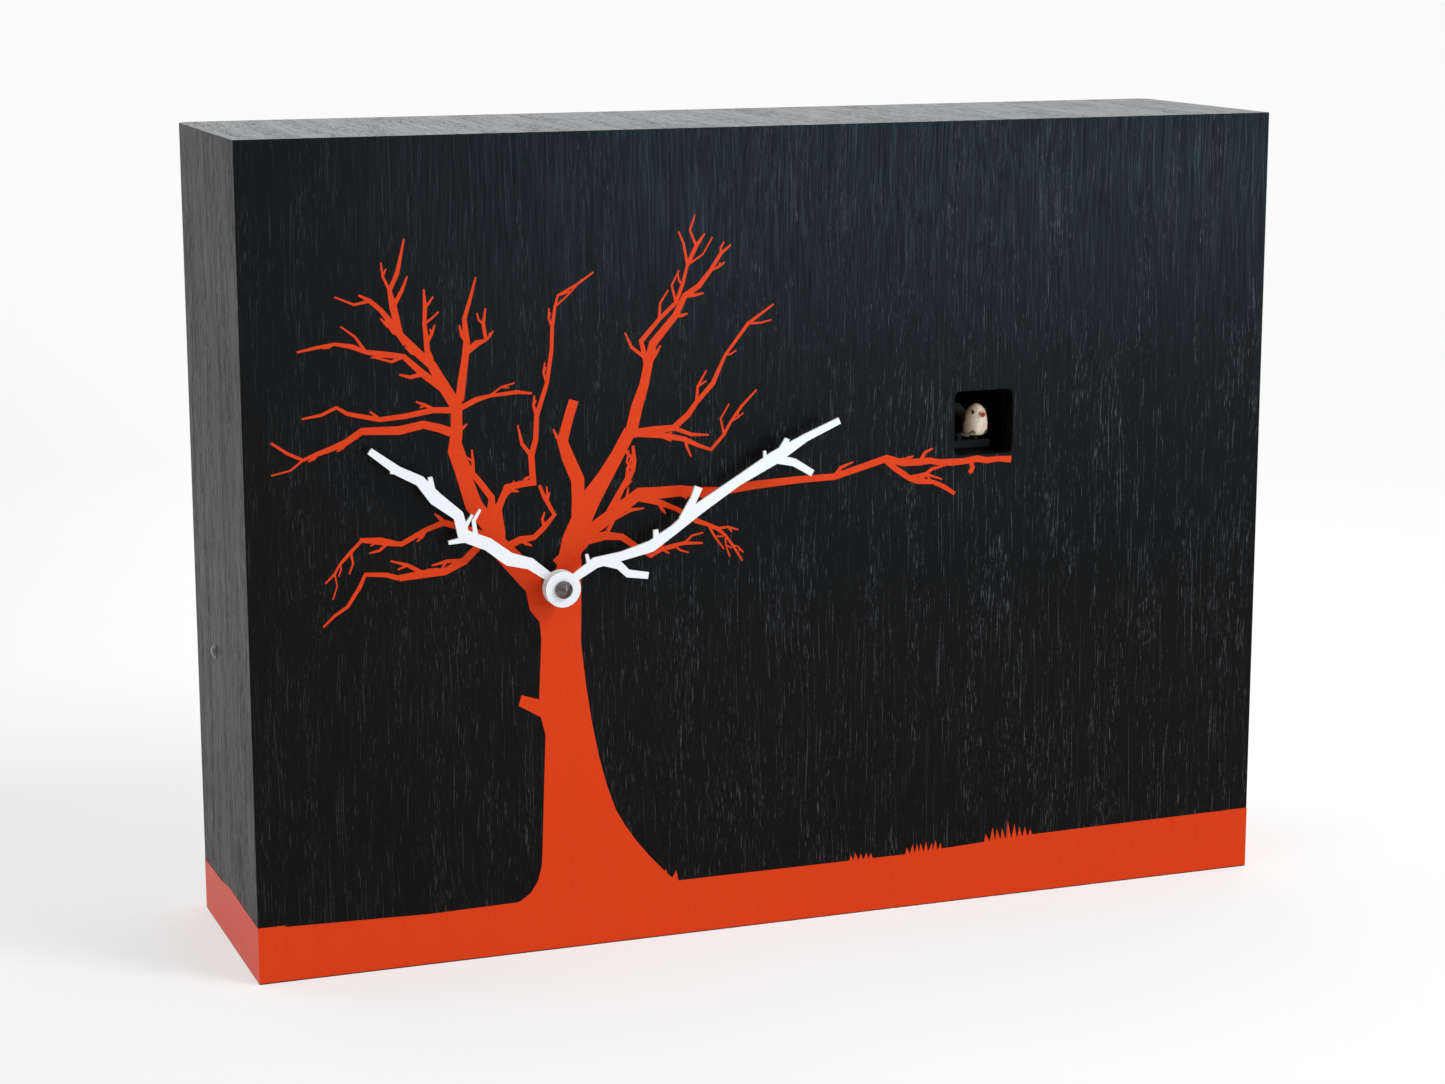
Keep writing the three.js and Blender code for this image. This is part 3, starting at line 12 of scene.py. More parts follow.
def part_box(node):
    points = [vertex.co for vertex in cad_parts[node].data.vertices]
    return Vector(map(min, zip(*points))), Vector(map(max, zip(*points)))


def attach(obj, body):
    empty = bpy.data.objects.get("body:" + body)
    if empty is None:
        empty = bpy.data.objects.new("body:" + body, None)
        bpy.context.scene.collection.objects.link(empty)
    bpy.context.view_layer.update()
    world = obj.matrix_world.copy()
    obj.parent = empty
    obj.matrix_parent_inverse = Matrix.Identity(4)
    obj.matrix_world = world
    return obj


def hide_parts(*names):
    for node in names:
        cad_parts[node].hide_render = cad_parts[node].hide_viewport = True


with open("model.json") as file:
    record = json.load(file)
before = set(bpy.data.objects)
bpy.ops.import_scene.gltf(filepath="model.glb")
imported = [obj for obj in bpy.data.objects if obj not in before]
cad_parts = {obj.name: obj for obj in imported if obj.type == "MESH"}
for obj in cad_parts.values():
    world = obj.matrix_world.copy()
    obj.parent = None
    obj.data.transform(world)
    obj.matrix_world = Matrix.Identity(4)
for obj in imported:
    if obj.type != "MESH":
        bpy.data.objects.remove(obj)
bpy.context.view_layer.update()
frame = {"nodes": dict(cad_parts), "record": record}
NODES = frame["nodes"]
MM = 0.001
BIRD_BACK_MM = 5.4  # from the bird's middle to its back


# ---------------------------------------------------------------- camera, floor and light

FLOOR_GLOW = 0.55  # the share of the floor's light that comes from the floor itself
CAMERA_PLACE = Vector((-0.3738, -0.9882, 0.3373))
CAMERA_LOOK = Vector((0.34338, 0.91807, -0.19808))
CAMERA_UP = Vector((0.0709, 0.18495, 0.98018))
CAMERA_LENS_MM = 77.475
SENSOR_WIDTH_MM = 36.0
FLOOR_REACH = 12.0


def make_camera():
    data = bpy.data.cameras.new("camera")
    data.lens = CAMERA_LENS_MM
    data.sensor_width = SENSOR_WIDTH_MM
    data.clip_start = 0.05
    data.clip_end = 50
    camera = bpy.data.objects.new("camera", data)
    back = -CAMERA_LOOK.normalized()
    right = CAMERA_UP.cross(back).normalized()
    up = back.cross(right)
    camera.matrix_world = Matrix.Translation(CAMERA_PLACE) @ Matrix((right, up, back)).transposed().to_4x4()
    bpy.context.scene.collection.objects.link(camera)
    bpy.context.scene.camera = camera


def make_floor():
    mesh = bpy.data.meshes.new("floor")
    far = FLOOR_REACH
    mesh.from_pydata([(-far, -far, 0), (far, -far, 0), (far, far, 0), (-far, far, 0)], [], [(0, 1, 2, 3)])
    floor = bpy.data.objects.new("floor", mesh)
    bpy.context.scene.collection.objects.link(floor)
    floor.data.materials.append(floor_paint())


def aim(light, place, target):
    light.location = place
    light.rotation_mode = "QUATERNION"
    light.rotation_quaternion = (Vector(target) - Vector(place)).to_track_quat("-Z", "Y")
    bpy.context.scene.collection.objects.link(light)


def soft_box(name, place, target, size, watts, spread_degrees, light_colour):
    data = bpy.data.lights.new(name, "AREA")
    data.spread = math.radians(spread_degrees)
    data.shape = "RECTANGLE"
    data.size, data.size_y = size
    data.energy = watts
    data.color = light_colour
    aim(bpy.data.objects.new(name, data), place, target)


def sun_light(name, place, target, strength, spread_degrees, light_colour):
    data = bpy.data.lights.new(name, "SUN")
    data.energy = strength
    data.angle = math.radians(spread_degrees)
    data.color = light_colour
    aim(bpy.data.objects.new(name, data), place, target)


def make_world():
    """A white studio that is bright behind and above the clock, and dim on the camera's side."""
    world = bpy.data.worlds.new("studio")
    bpy.context.scene.world = world
    world.use_nodes = True
    tree = world.node_tree
    tree.nodes.clear()
    direction = add(tree, "ShaderNodeTexCoord").outputs["Generated"]
    split = add(tree, "ShaderNodeSeparateXYZ", Vector=direction)
    behind = spread(tree, split.outputs["Y"], -0.7, 0.15, 0.3, 0.95)
    above = spread(tree, split.outputs["Z"], 0.2, 0.9, 0.0, 0.35)
    level = maths(tree, "ADD", behind, above)
    seen = add(tree, "ShaderNodeLightPath").outputs["Is Camera Ray"]
    strength = add(tree, "ShaderNodeMix", Factor=seen, A=level, B=1.0)
    light = add(tree, "ShaderNodeBackground", Color=(0.96, 0.98, 1.0, 1), Strength=strength.outputs[0])
    output = add(tree, "ShaderNodeOutputWorld")
    tree.links.new(light.outputs[0], output.inputs["Surface"])


def make_studio():
    make_world()
    make_floor()
    middle = (0, 0, 0.13)
    sun_light("key", place=(1.15, -1.1, 1.3), target=middle, strength=1.6, spread_degrees=22,
              light_colour=(1.0, 0.985, 0.965))
    soft_box("cool_sheen", place=(0.36, -0.62, 0.225), target=(0.1, 0, 0.24), size=(0.6, 0.08), watts=0.3,
             spread_degrees=50, light_colour=(0.4, 0.76, 1.0))
    view = bpy.context.scene.view_settings
    view.view_transform = "Standard"
    view.look = "None"


# ---------------------------------------------------------------- shader building

def add(tree, kind, settings=None, inputs=None, **sockets):
    """Adds a node. Sockets are set or linked by name, or by number in inputs."""
    node = tree.nodes.new(kind)
    for key, value in (settings or {}).items():
        setattr(node, key, value)
    for key, value in list(sockets.items()) + list((inputs or {}).items()):
        socket = node.inputs[key.replace("_", " ") if isinstance(key, str) else key]
        if isinstance(value, bpy.types.NodeSocket):
            tree.links.new(value, socket)
        else:
            socket.default_value = value
    return node


def maths(tree, operation, first, second=0.0):
    return add(tree, "ShaderNodeMath", {"operation": operation}, {0: first, 1: second}).outputs[0]


def blend(tree, factor, first, second):
    """Mixes two colours."""
    node = add(tree, "ShaderNodeMix", {"data_type": "RGBA"}, {0: factor, 6: first, 7: second})
    return node.outputs[2]


def spread(tree, value, low, high, out_low=0.0, out_high=1.0):
    """Maps a value from one range to another and holds it inside."""
    limits = {1: low, 2: high, 3: out_low, 4: out_high}
    return add(tree, "ShaderNodeMapRange", inputs=limits, Value=value).outputs[0]


def here(tree, per_mm, shift=None):
    """A piece's own coordinates, in steps per millimetre along each axis."""
    place = add(tree, "ShaderNodeTexCoord").outputs["Object"]
    if shift is not None:
        place = add(tree, "ShaderNodeVectorMath", {"operation": "ADD"}, {0: place, 1: shift}).outputs[0]
    scale = tuple(1000 * step for step in per_mm)
    return add(tree, "ShaderNodeVectorMath", {"operation": "MULTIPLY"}, {0: place, 1: scale}).outputs[0]


def own(tree, axis):
    """A piece's own X, Y or Z coordinate in metres."""
    place = add(tree, "ShaderNodeTexCoord").outputs["Object"]
    return add(tree, "ShaderNodeSeparateXYZ", Vector=place).outputs[axis]


def noise(tree, where, detail=2.0, roughness=0.5):
    node = add(tree, "ShaderNodeTexNoise", Vector=where, Scale=1.0, Detail=detail, Roughness=roughness)
    return node.outputs["Fac"]


def start_material(name, **sockets):
    """A new material with a Principled shader. Returns the material, its tree and the shader."""
    material = bpy.data.materials.new(name)
    material.use_nodes = True
    tree = material.node_tree
    shader = tree.nodes["Principled BSDF"]
    for key, value in sockets.items():
        shader.inputs[key.replace("_", " ")].default_value = value
    return material, tree, shader


def link(tree, socket, target):
    tree.links.new(socket, target)


def tint(tree, shader, mix, low, high):
    """Sets the base colour between two colours."""
    link(tree, blend(tree, mix, colour(*low), colour(*high)), shader.inputs["Base Color"])


def satin(tree, shader, mix, smooth, rough):
    """Sets the roughness between two values."""
    link(tree, spread(tree, mix, 0.3, 0.7, smooth, rough), shader.inputs["Roughness"])


def bump(tree, shader, height, distance_mm, strength):
    node = add(tree, "ShaderNodeBump", Height=height, Distance=distance_mm * MM, Strength=strength)
    link(tree, node.outputs[0], shader.inputs["Normal"])


def colour(*values):
    return (*values, 1.0)


# ---------------------------------------------------------------- materials

def floor_paint():
    """A white table that gives off part of its own light, so that shadows stay faint, with painted shade
    greyer away from the clock and darker towards the left.
    """
    material, tree, shader = start_material("floor_paint", Roughness=0.8, Specular_IOR_Level=0.0,
                                            Emission_Strength=FLOOR_GLOW)
    place = add(tree, "ShaderNodeTexCoord").outputs["Object"]
    distance = add(tree, "ShaderNodeVectorMath", {"operation": "LENGTH"}, {0: place}).outputs["Value"]
    patches = maths(tree, "MULTIPLY", noise(tree, here(tree, (0.004, 0.004, 0.004))), 0.1)
    far = maths(tree, "ADD", spread(tree, distance, 0.2, 1.0), patches)
    # Painted shade: the floor's colour grows greyer away from the clock.
    plain = blend(tree, far, colour(0.965, 0.96, 0.955), colour(0.875, 0.87, 0.865))
    across = add(tree, "ShaderNodeSeparateXYZ", Vector=place).outputs["X"]
    # Painted shade: the floor's colour grows darker towards the left.
    white = blend(tree, spread(tree, across, 0.0, -0.7), plain, colour(0.73, 0.73, 0.73))
    reflected = add(tree, "ShaderNodeVectorMath", {"operation": "SCALE"}, Vector=white, Scale=1 - FLOOR_GLOW)
    link(tree, reflected.outputs[0], shader.inputs["Base Color"])
    link(tree, white, shader.inputs["Emission Color"])
    return material


def wood_grain(tree, along, openness=0.0):
    """Pores and fibres that run along one axis. More openness gives more and longer pores.

    Each pair of steps is one over the size of a mark in millimetres, across the grain and along it.
    """
    def stretch(across, lengthwise):
        steps = [across] * 3
        steps["XYZ".index(along)] = lengthwise
        return tuple(steps)

    waver = add(tree, "ShaderNodeTexNoise", {"noise_dimensions": "3D"},
                Vector=here(tree, stretch(1 / 26, 1 / 75)), Scale=1.0, Detail=1.0).outputs["Color"]
    drift = add(tree, "ShaderNodeVectorMath", {"operation": "SCALE"}, Vector=waver, Scale=6 * MM).outputs[0]
    bands = noise(tree, here(tree, stretch(1 / 7, 1 / 70), drift), 2.0, 0.5)
    dashes = noise(tree, here(tree, stretch(1 / 0.3, 1 / 5.5), drift), 2.0, 0.65)
    threshold = spread(tree, bands, 0.38, 0.62, 0.69 - openness, 0.58 - openness)
    short_pores = spread(tree, maths(tree, "SUBTRACT", dashes, threshold), 0.0, 0.11)
    lines = noise(tree, here(tree, stretch(1 / 0.42, 1 / 38), drift), 1.0, 0.5)
    broken = noise(tree, here(tree, stretch(1 / 0.25, 1 / 1.0), drift), 1.0, 0.5)
    long_pores = maths(tree, "MULTIPLY", spread(tree, lines, 0.64, 0.74), spread(tree, broken, 0.3, 0.6))
    pores = maths(tree, "MAXIMUM", short_pores, maths(tree, "MULTIPLY", long_pores, 0.8))
    fibres = noise(tree, here(tree, stretch(1 / 0.6, 1 / 30), drift), 3.0, 0.75)
    return pores, fibres


def inside_case(tree):
    """1 on the faces inside the case, where the panels are bare board, and 0 outside."""
    low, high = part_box("back_cover")
    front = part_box("front_panel")[1][1]
    slack = 0.5 * MM
    place = add(tree, "ShaderNodeTexCoord").outputs["Object"]
    split = add(tree, "ShaderNodeSeparateXYZ", Vector=place).outputs
    limits = (
        ("LESS_THAN", maths(tree, "ABSOLUTE", split["X"]), high[0] + slack),
        ("GREATER_THAN", split["Y"], front - 0.1 * MM),
        ("GREATER_THAN", split["Z"], low[2] - slack),
        ("LESS_THAN", split["Z"], high[2] + slack),
    )
    inside = 1.0
    for operation, value, limit in limits:
        inside = maths(tree, "MULTIPLY", inside, maths(tree, operation, value, limit))
    return inside


def veneer(name, along, sheen, smoothest, openness=0.0, pore_glint_level=1.0):
    """Black-stained open-pored veneer under a thin satin lacquer, on bare board inside the case.

    sheen is the lacquer's specular level, smoothest its least roughness, and pore_glint_level how bright
    the painted glint in the pores is: a painted reflection off the pore edges, painted paler towards the
    right.
    """
    material, tree, shader = start_material(name)
    pores, fibres = wood_grain(tree, along, openness)
    grit = noise(tree, here(tree, (3.2, 3.2, 3.2)), 2.0, 0.75)
    stain = colour(0.0008, 0.0007, 0.0006), colour(0.0045, 0.0037, 0.0034)
    ground = blend(tree, spread(tree, grit, 0.35, 0.65), *stain)
    streaked = blend(tree, spread(tree, fibres, 0.45, 0.8, 0.0, 0.7), ground, colour(0.016, 0.0155, 0.0155))
    across = own(tree, "X")
    # Painted glint: the pores get a pale bluish grey for light caught on their edges, painted paler towards
    # the right as painted sheen.
    pore_glint_by_x = spread(tree, across, -0.17, 0.08, 0.4 * pore_glint_level, 0.9 * pore_glint_level)
    pore_glint = maths(tree, "MULTIPLY", pores, pore_glint_by_x)
    # This pale bluish grey is the painted glint colour of the pores.
    face_with_glint = blend(tree, pore_glint, streaked, colour(0.078, 0.08, 0.088))
    fibre_mat = noise(tree, here(tree, (1.1, 1.1, 1.1)), 4.0, 0.7)
    board = blend(tree, fibre_mat, colour(0.15, 0.09, 0.05), colour(0.25, 0.165, 0.1))
    inside = inside_case(tree)
    link(tree, blend(tree, inside, face_with_glint, board), shader.inputs["Base Color"])
    gloss = spread(tree, fibres, 0.3, 0.7, smoothest, smoothest + 0.16)
    lacquer = maths(tree, "ADD", gloss, maths(tree, "MULTIPLY", pores, 0.3))
    bare = maths(tree, "MULTIPLY", inside, 0.8)
    link(tree, maths(tree, "MAXIMUM", lacquer, bare), shader.inputs["Roughness"])
    shine = spread(tree, fibres, 0.3, 0.7, 1.8, 0.2)
    lustre = maths(tree, "MULTIPLY", shine, spread(tree, pores, 0.0, 1.0, 1.0, 0.3))
    link(tree, maths(tree, "MULTIPLY", lustre, sheen), shader.inputs["Specular IOR Level"])
    height = maths(tree, "SUBTRACT", maths(tree, "MULTIPLY", fibres, 0.5), pores)
    bump(tree, shader, height, 0.05, 0.6)
    return material


def ink():
    """Orange ink that fills most of the grain under it, and shines more on the left side."""
    material, tree, shader = start_material("ink", Roughness=0.42)
    pores, fibres = wood_grain(tree, "Z")
    across = own(tree, "X")
    left_side = maths(tree, "LESS_THAN", across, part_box("left_panel")[0][0] + 0.02 * MM)
    link(tree, spread(tree, left_side, 0.0, 1.0, 0.05, 0.16), shader.inputs["Specular IOR Level"])
    mottle = noise(tree, here(tree, (1.6, 1.6, 1.6)), 2.0)
    base = blend(tree, mottle, colour(0.62, 0.04, 0.006), colour(0.68, 0.05, 0.009))
    worn = blend(tree, maths(tree, "MULTIPLY", pores, 0.35), base, colour(0.45, 0.024, 0.006))
    link(tree, worn, shader.inputs["Base Color"])
    hollows = maths(tree, "MULTIPLY", pores, 0.6)
    height = maths(tree, "SUBTRACT", maths(tree, "MULTIPLY", fibres, 0.3), hollows)
    bump(tree, shader, height, 0.02, 0.6)
    return material


def white_paint():
    material, tree, shader = start_material("white_paint", Specular_IOR_Level=0.5)
    peel = noise(tree, here(tree, (2.2, 2.2, 2.2)), 2.0)
    tint(tree, shader, peel, (0.75, 0.73, 0.722), (0.8, 0.77, 0.76))
    satin(tree, shader, peel, 0.3, 0.4)
    bump(tree, shader, peel, 0.01, 0.5)
    return material


def moulded(name, low, high, roughness, shine=0.5):
    """Moulded plastic with a fine spark-eroded texture."""
    material, tree, shader = start_material(name, Specular_IOR_Level=shine)
    grain = noise(tree, here(tree, (7, 7, 7)), 2.0)
    broad = noise(tree, here(tree, (0.12, 0.12, 0.12)), 2.0)
    tint(tree, shader, broad, low, high)
    satin(tree, shader, grain, roughness - 0.07, roughness + 0.07)
    bump(tree, shader, grain, 0.02, 0.5)
    return material


def metal(name, low, high, roughness, scratch_axis="Z"):
    """Metal with fine lines along one axis."""
    material, tree, shader = start_material(name, Metallic=1.0)
    steps = [8.0] * 3
    steps["XYZ".index(scratch_axis)] = 0.3
    lines = noise(tree, here(tree, tuple(steps)), 2.0, 0.6)
    stains = noise(tree, here(tree, (0.3, 0.3, 0.3)), 2.0)
    tint(tree, shader, stains, low, high)
    satin(tree, shader, lines, roughness - 0.06, roughness + 0.1)
    bump(tree, shader, lines, 0.005, 0.4)
    return material


def raw_wood(name, low, high, along, step):
    """Unfinished wood or pressed board. Its figure runs along one axis, in marks step mm across."""
    material, tree, shader = start_material(name, Roughness=0.75, Specular_IOR_Level=0.25)
    steps = [1 / step] * 3
    steps["XYZ".index(along)] = 1 / (step * 14)
    figure = noise(tree, here(tree, tuple(steps)), 4.0, 0.65)
    specks = noise(tree, here(tree, (1.4, 1.4, 1.4)), 3.0, 0.7)
    base = blend(tree, spread(tree, figure, 0.3, 0.7), colour(*low), colour(*high))
    fleck = colour(*(0.5 * part for part in low))
    flecked = blend(tree, spread(tree, specks, 0.62, 0.75, 0.0, 0.4), base, fleck)
    link(tree, flecked, shader.inputs["Base Color"])
    bump(tree, shader, maths(tree, "ADD", figure, specks), 0.06, 0.5)
    return material


def smoked_lens():
    material, tree, shader = start_material("smoked_lens", IOR=1.49, Coat_Weight=0.6)
    swirl = noise(tree, here(tree, (0.8, 0.8, 0.8)), 2.0)
    tint(tree, shader, swirl, (0.035, 0.035, 0.042), (0.06, 0.06, 0.07))
    satin(tree, shader, swirl, 0.04, 0.12)
    return material


def turned_steel(axis_x, axis_z):
    """Dark turned steel with fine rings round an axis along Y."""
    material, tree, shader = start_material("turned_steel", Metallic=1.0)
    place = add(tree, "ShaderNodeTexCoord").outputs["Object"]
    axis = (axis_x, 0, axis_z)
    offset = add(tree, "ShaderNodeVectorMath", {"operation": "SUBTRACT"}, {0: place, 1: axis}).outputs[0]
    flat = add(tree, "ShaderNodeVectorMath", {"operation": "MULTIPLY"}, {0: offset, 1: (1, 0, 1)}).outputs[0]
    radius = add(tree, "ShaderNodeVectorMath", {"operation": "LENGTH"}, {0: flat}).outputs["Value"]
    lines = add(tree, "ShaderNodeTexNoise", {"noise_dimensions": "1D"}, W=radius, Scale=9000.0, Detail=2.0)
    rings = lines.outputs["Fac"]
    tone = noise(tree, here(tree, (0.5, 0.5, 0.5)), 2.0)
    tint(tree, shader, tone, (0.11, 0.095, 0.088), (0.19, 0.17, 0.155))
    satin(tree, shader, rings, 0.12, 0.24)
    bump(tree, shader, rings, 0.02, 1.0)
    return material


def bird_paint(middle):
    """Hand-painted bird: cream in front, chestnut towards the back, in a satin varnish."""
    material, tree, shader = start_material("bird_paint", Roughness=0.38, Specular_IOR_Level=0.5)
    place = add(tree, "ShaderNodeTexCoord").outputs["Object"]
    split = add(tree, "ShaderNodeSeparateXYZ", Vector=place).outputs
    across = maths(tree, "MULTIPLY", maths(tree, "SUBTRACT", split["X"], middle.x), 0.45)
    back = maths(tree, "ADD", maths(tree, "SUBTRACT", split["Y"], middle.y), across)
    dabs = noise(tree, here(tree, (0.9, 0.9, 0.35)), 3.0, 0.6)
    wander = maths(tree, "MULTIPLY", maths(tree, "SUBTRACT", dabs, 0.5), 3.2 * MM)
    edge = maths(tree, "ADD", back, wander)
    coat = spread(tree, edge, -1.1 * MM, -0.4 * MM)
    cream = blend(tree, spread(tree, dabs, 0.3, 0.7), colour(0.52, 0.35, 0.235), colour(0.76, 0.59, 0.43))
    chestnut = blend(tree, dabs, colour(0.12, 0.028, 0.009), colour(0.22, 0.06, 0.018))
    link(tree, blend(tree, coat, cream, chestnut), shader.inputs["Base Color"])
    bump(tree, shader, dabs, 0.08, 0.5)
    return material


def enamel(name, low, high, roughness):
    """A small painted detail with brush marks."""
    material, tree, shader = start_material(name, Specular_IOR_Level=0.5)
    strokes = noise(tree, here(tree, (2.5, 2.5, 0.8)), 2.0)
    tint(tree, shader, strokes, low, high)
    satin(tree, shader, strokes, roughness - 0.05, roughness + 0.08)
    return material


# The materials that share a maker, each with what its maker is given after the name.
VENEERS = {  # the grain's axis, sheen, least roughness, openness, and the strength of the painted glint in the pores
    "veneer_front": ("Z", 0.06, 0.28),
    "veneer_side": ("Z", 0.225, 0.36, 0.08, 0.3),
    "veneer_level": ("Y", 0.82, 0.2, 0.08, 0.3),
}
MOULDINGS = {  # darker and lighter colour, roughness, and shine where it isn't the usual
    "black_plastic": ((0.011, 0.011, 0.012), (0.015, 0.015, 0.016), 0.5),
    "grey_plastic": ((0.1, 0.105, 0.115), (0.125, 0.13, 0.14), 0.45),
    "white_plastic": ((0.74, 0.73, 0.68), (0.8, 0.79, 0.74), 0.35),
    "green_board": ((0.014, 0.09, 0.03), (0.022, 0.13, 0.05), 0.3),
    "cell_skin": ((0.03, 0.05, 0.085), (0.045, 0.07, 0.11), 0.28),
    "cell_band": ((0.3, 0.14, 0.05), (0.38, 0.19, 0.07), 0.25),
    "lead_skin": ((0.05, 0.05, 0.055), (0.07, 0.07, 0.075), 0.5),
    "platform_grey": ((0.022, 0.019, 0.018), (0.03, 0.026, 0.025), 0.85, 0.1),
    # Near black, darker than the black plastic: painted shade for the inside of the bird's window.
    "painted_shade_black": ((0.0015, 0.0015, 0.0015), (0.003, 0.003, 0.003), 0.9, 0.1),
}
METALS = {  # darker and lighter colour, roughness, and the axis of the lines where it isn't Z
    "steel": ((0.5, 0.51, 0.52), (0.62, 0.63, 0.64), 0.3),
    "blackened_steel": ((0.12, 0.12, 0.125), (0.2, 0.2, 0.205), 0.32),
    "dark_chrome": ((0.16, 0.16, 0.165), (0.26, 0.26, 0.265), 0.17),
    "brass": ((0.55, 0.38, 0.13), (0.66, 0.47, 0.19), 0.28),
    "copper": ((0.5, 0.2, 0.08), (0.6, 0.26, 0.1), 0.35, "X"),
}
RAW_WOODS = {  # darker and lighter colour, the figure's axis, and the width of its marks in mm
    "hardboard": ((0.085, 0.05, 0.028), (0.13, 0.08, 0.045), "X", 2.5),
    "softwood": ((0.42, 0.26, 0.12), (0.58, 0.39, 0.21), "X", 1.6),
    "bird_wood": ((0.2, 0.13, 0.075), (0.32, 0.22, 0.13), "Z", 0.7),
}
ENAMELS = {  # darker and lighter colour, roughness
    "wing_paint": ((0.1, 0.022, 0.007), (0.2, 0.05, 0.015), 0.35),
    "beak_base": ((0.55, 0.36, 0.22), (0.66, 0.46, 0.3), 0.35),
    "beak_tip": ((0.3, 0.004, 0.008), (0.42, 0.008, 0.012), 0.25),
    "eye": ((0.001, 0.001, 0.001), (0.003, 0.003, 0.003), 0.3),
    "brow": ((0.3, 0.17, 0.1), (0.4, 0.26, 0.17), 0.4),
    "claw": ((0.04, 0.02, 0.012), (0.08, 0.045, 0.03), 0.35),
}
MAKERS = ((veneer, VENEERS), (moulded, MOULDINGS), (metal, METALS), (raw_wood, RAW_WOODS), (enamel, ENAMELS))
MATERIALS = {}


def middle_of(node):
    low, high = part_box(node)
    return (Vector(low) + Vector(high)) / 2


def make_materials():
    for maker, rows in MAKERS:
        for name, values in rows.items():
            MATERIALS[name] = maker(name, *values)
    MATERIALS["ink"] = ink()
    MATERIALS["white_paint"] = white_paint()
    MATERIALS["clear_lens"] = smoked_lens()
    bird = middle_of("bird_body")
    bird.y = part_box("bird_body")[1][1] - BIRD_BACK_MM * MM
    MATERIALS["bird_paint"] = bird_paint(bird)
    hub = middle_of("hand_nut")
    MATERIALS["turned_steel"] = turned_steel(hub.x, hub.z)


# A CAD node takes its own row here, or its slot's row, or else the material with its slot's name.
NODE_MATERIALS = {
    "front_panel": "veneer_front", "top_panel": "veneer_level", "bottom_panel": "veneer_level",
    # The hood and the plate inside the bird's window are black, and made darker still as painted shade.
    "bird_hood": "painted_shade_black", "mechanism_plate": "painted_shade_black", "bird_carriage": "platform_grey",
}
SLOT_MATERIALS = {"black_veneer": "veneer_side", "orange_ink": "ink"}
BEVELS_MM = {
    "front_panel": 0.22, "left_panel": 0.22, "right_panel": 0.22, "top_panel": 0.22, "bottom_panel": 0.22,
    "minute_hand": 0.12, "hour_hand": 0.12, "movement_cover": 0.3, "movement_base": 0.3, "control_box": 0.4,
    "cell_door": 0.25, "volume_switch": 0.3, "mode_switch": 0.3, "test_button": 0.3, "hanger_plate_left": 0.2,
    "hanger_plate_right": 0.2, "setting_knob": 0.15, "bird_carriage": 0.15, "hanging_rail": 0.4,
    "corner_block_left": 0.4, "corner_block_right": 0.4,
}


def finish_nodes():
    """Gives every CAD node its material, and softens the edges of those that show closely."""
    for part in frame["record"]["subparts"]:
        name, slot = part["node"], part["material_slot"]
        material = NODE_MATERIALS.get(name, SLOT_MATERIALS.get(slot, slot))
        NODES[name].data.materials.clear()
        NODES[name].data.materials.append(MATERIALS[material])
    for name, width in BEVELS_MM.items():
        weld = NODES[name].modifiers.new("weld", "WELD")
        weld.merge_threshold = 1e-5
        bevel = NODES[name].modifiers.new("bevel", "BEVEL")
        bevel.width = width * MM
        bevel.segments = 2
        bevel.limit_method = "ANGLE"
        bevel.angle_limit = math.radians(40)
        bevel.use_clamp_overlap = True


# ---------------------------------------------------------------- shapes

def place_piece(name, mesh, material, body):
    """Makes a mesh into a smooth piece of the object. Angles over 35 degrees stay sharp."""
    piece = bpy.data.objects.new(name, mesh)
    bpy.context.scene.collection.objects.link(piece)
    for one in material if isinstance(material, (list, tuple)) else [material]:
        mesh.materials.append(MATERIALS[one])
    for face in mesh.polygons:
        face.use_smooth = True
    mesh.set_sharp_from_angle(angle=math.radians(35))
    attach(piece, body)
    return piece


def mesh_of(name, points, faces):
    mesh = bpy.data.meshes.new(name)
    mesh.from_pydata([tuple(point) for point in points], [], faces)
    mesh.update()
    return mesh


def ring_mesh(name, rings, shades=None):
    """Joins rings with the same number of points into a closed skin.

    shades gives a material number to each band.
    """
    count = len(rings[0])
    points = [point for ring in rings for point in ring]
    faces = []
    for level in range(len(rings) - 1):
        for i in range(count):
            j = (i + 1) % count
            low, high = level * count, (level + 1) * count
            faces.append((low + i, low + j, high + j, high + i))
    faces.append(tuple(reversed(range(count))))
    faces.append(tuple(range(len(points) - count, len(points))))
    mesh = mesh_of(name, points, faces)
    if shades:
        numbers = [shade for shade in shades for _ in range(count)] + [shades[0], shades[-1]]
        for face, number in zip(mesh.polygons, numbers):
            face.material_index = number
    return mesh


# Two directions across each axis, and its own.
AXIS_FRAMES = {
    "X": (Vector((0, 1, 0)), Vector((0, 0, 1)), Vector((1, 0, 0))),
    "Y": (Vector((0, 0, 1)), Vector((1, 0, 0)), Vector((0, 1, 0))),
}


def spokes(sides):
    """The angles of evenly spaced points round a circle."""
    return [2 * math.pi * i / sides for i in range(sides)]


def turned_mesh(name, centre, axis, profile_mm, sides, shades=None):
    """A turned shape from [radius, distance along the axis] points in millimetres."""
    across, up, along = AXIS_FRAMES[axis]
    rings = []
    for radius, reach in profile_mm:
        middle = Vector(centre) + along * (reach * MM)
        size = max(radius, 0.001) * MM
        rings.append([
            middle + (across * math.cos(a) + up * math.sin(a)) * size for a in spokes(sides)])
    return ring_mesh(name, rings, shades=shades)


def tube_mesh(name, line, radii_mm, sides):
    """A round bar along a line of points, with its own radius at each."""
    rings = []
    points = [Vector(point) for point in line]
    for i, point in enumerate(points):
        heading = points[min(i + 1, len(points) - 1)] - points[max(i - 1, 0)]
        turn = heading.to_track_quat("Z", "Y")
        size = radii_mm[i] * MM
        rings.append([
            point + turn @ Vector((math.cos(a), math.sin(a), 0)) * size for a in spokes(sides)])
    return ring_mesh(name, rings)


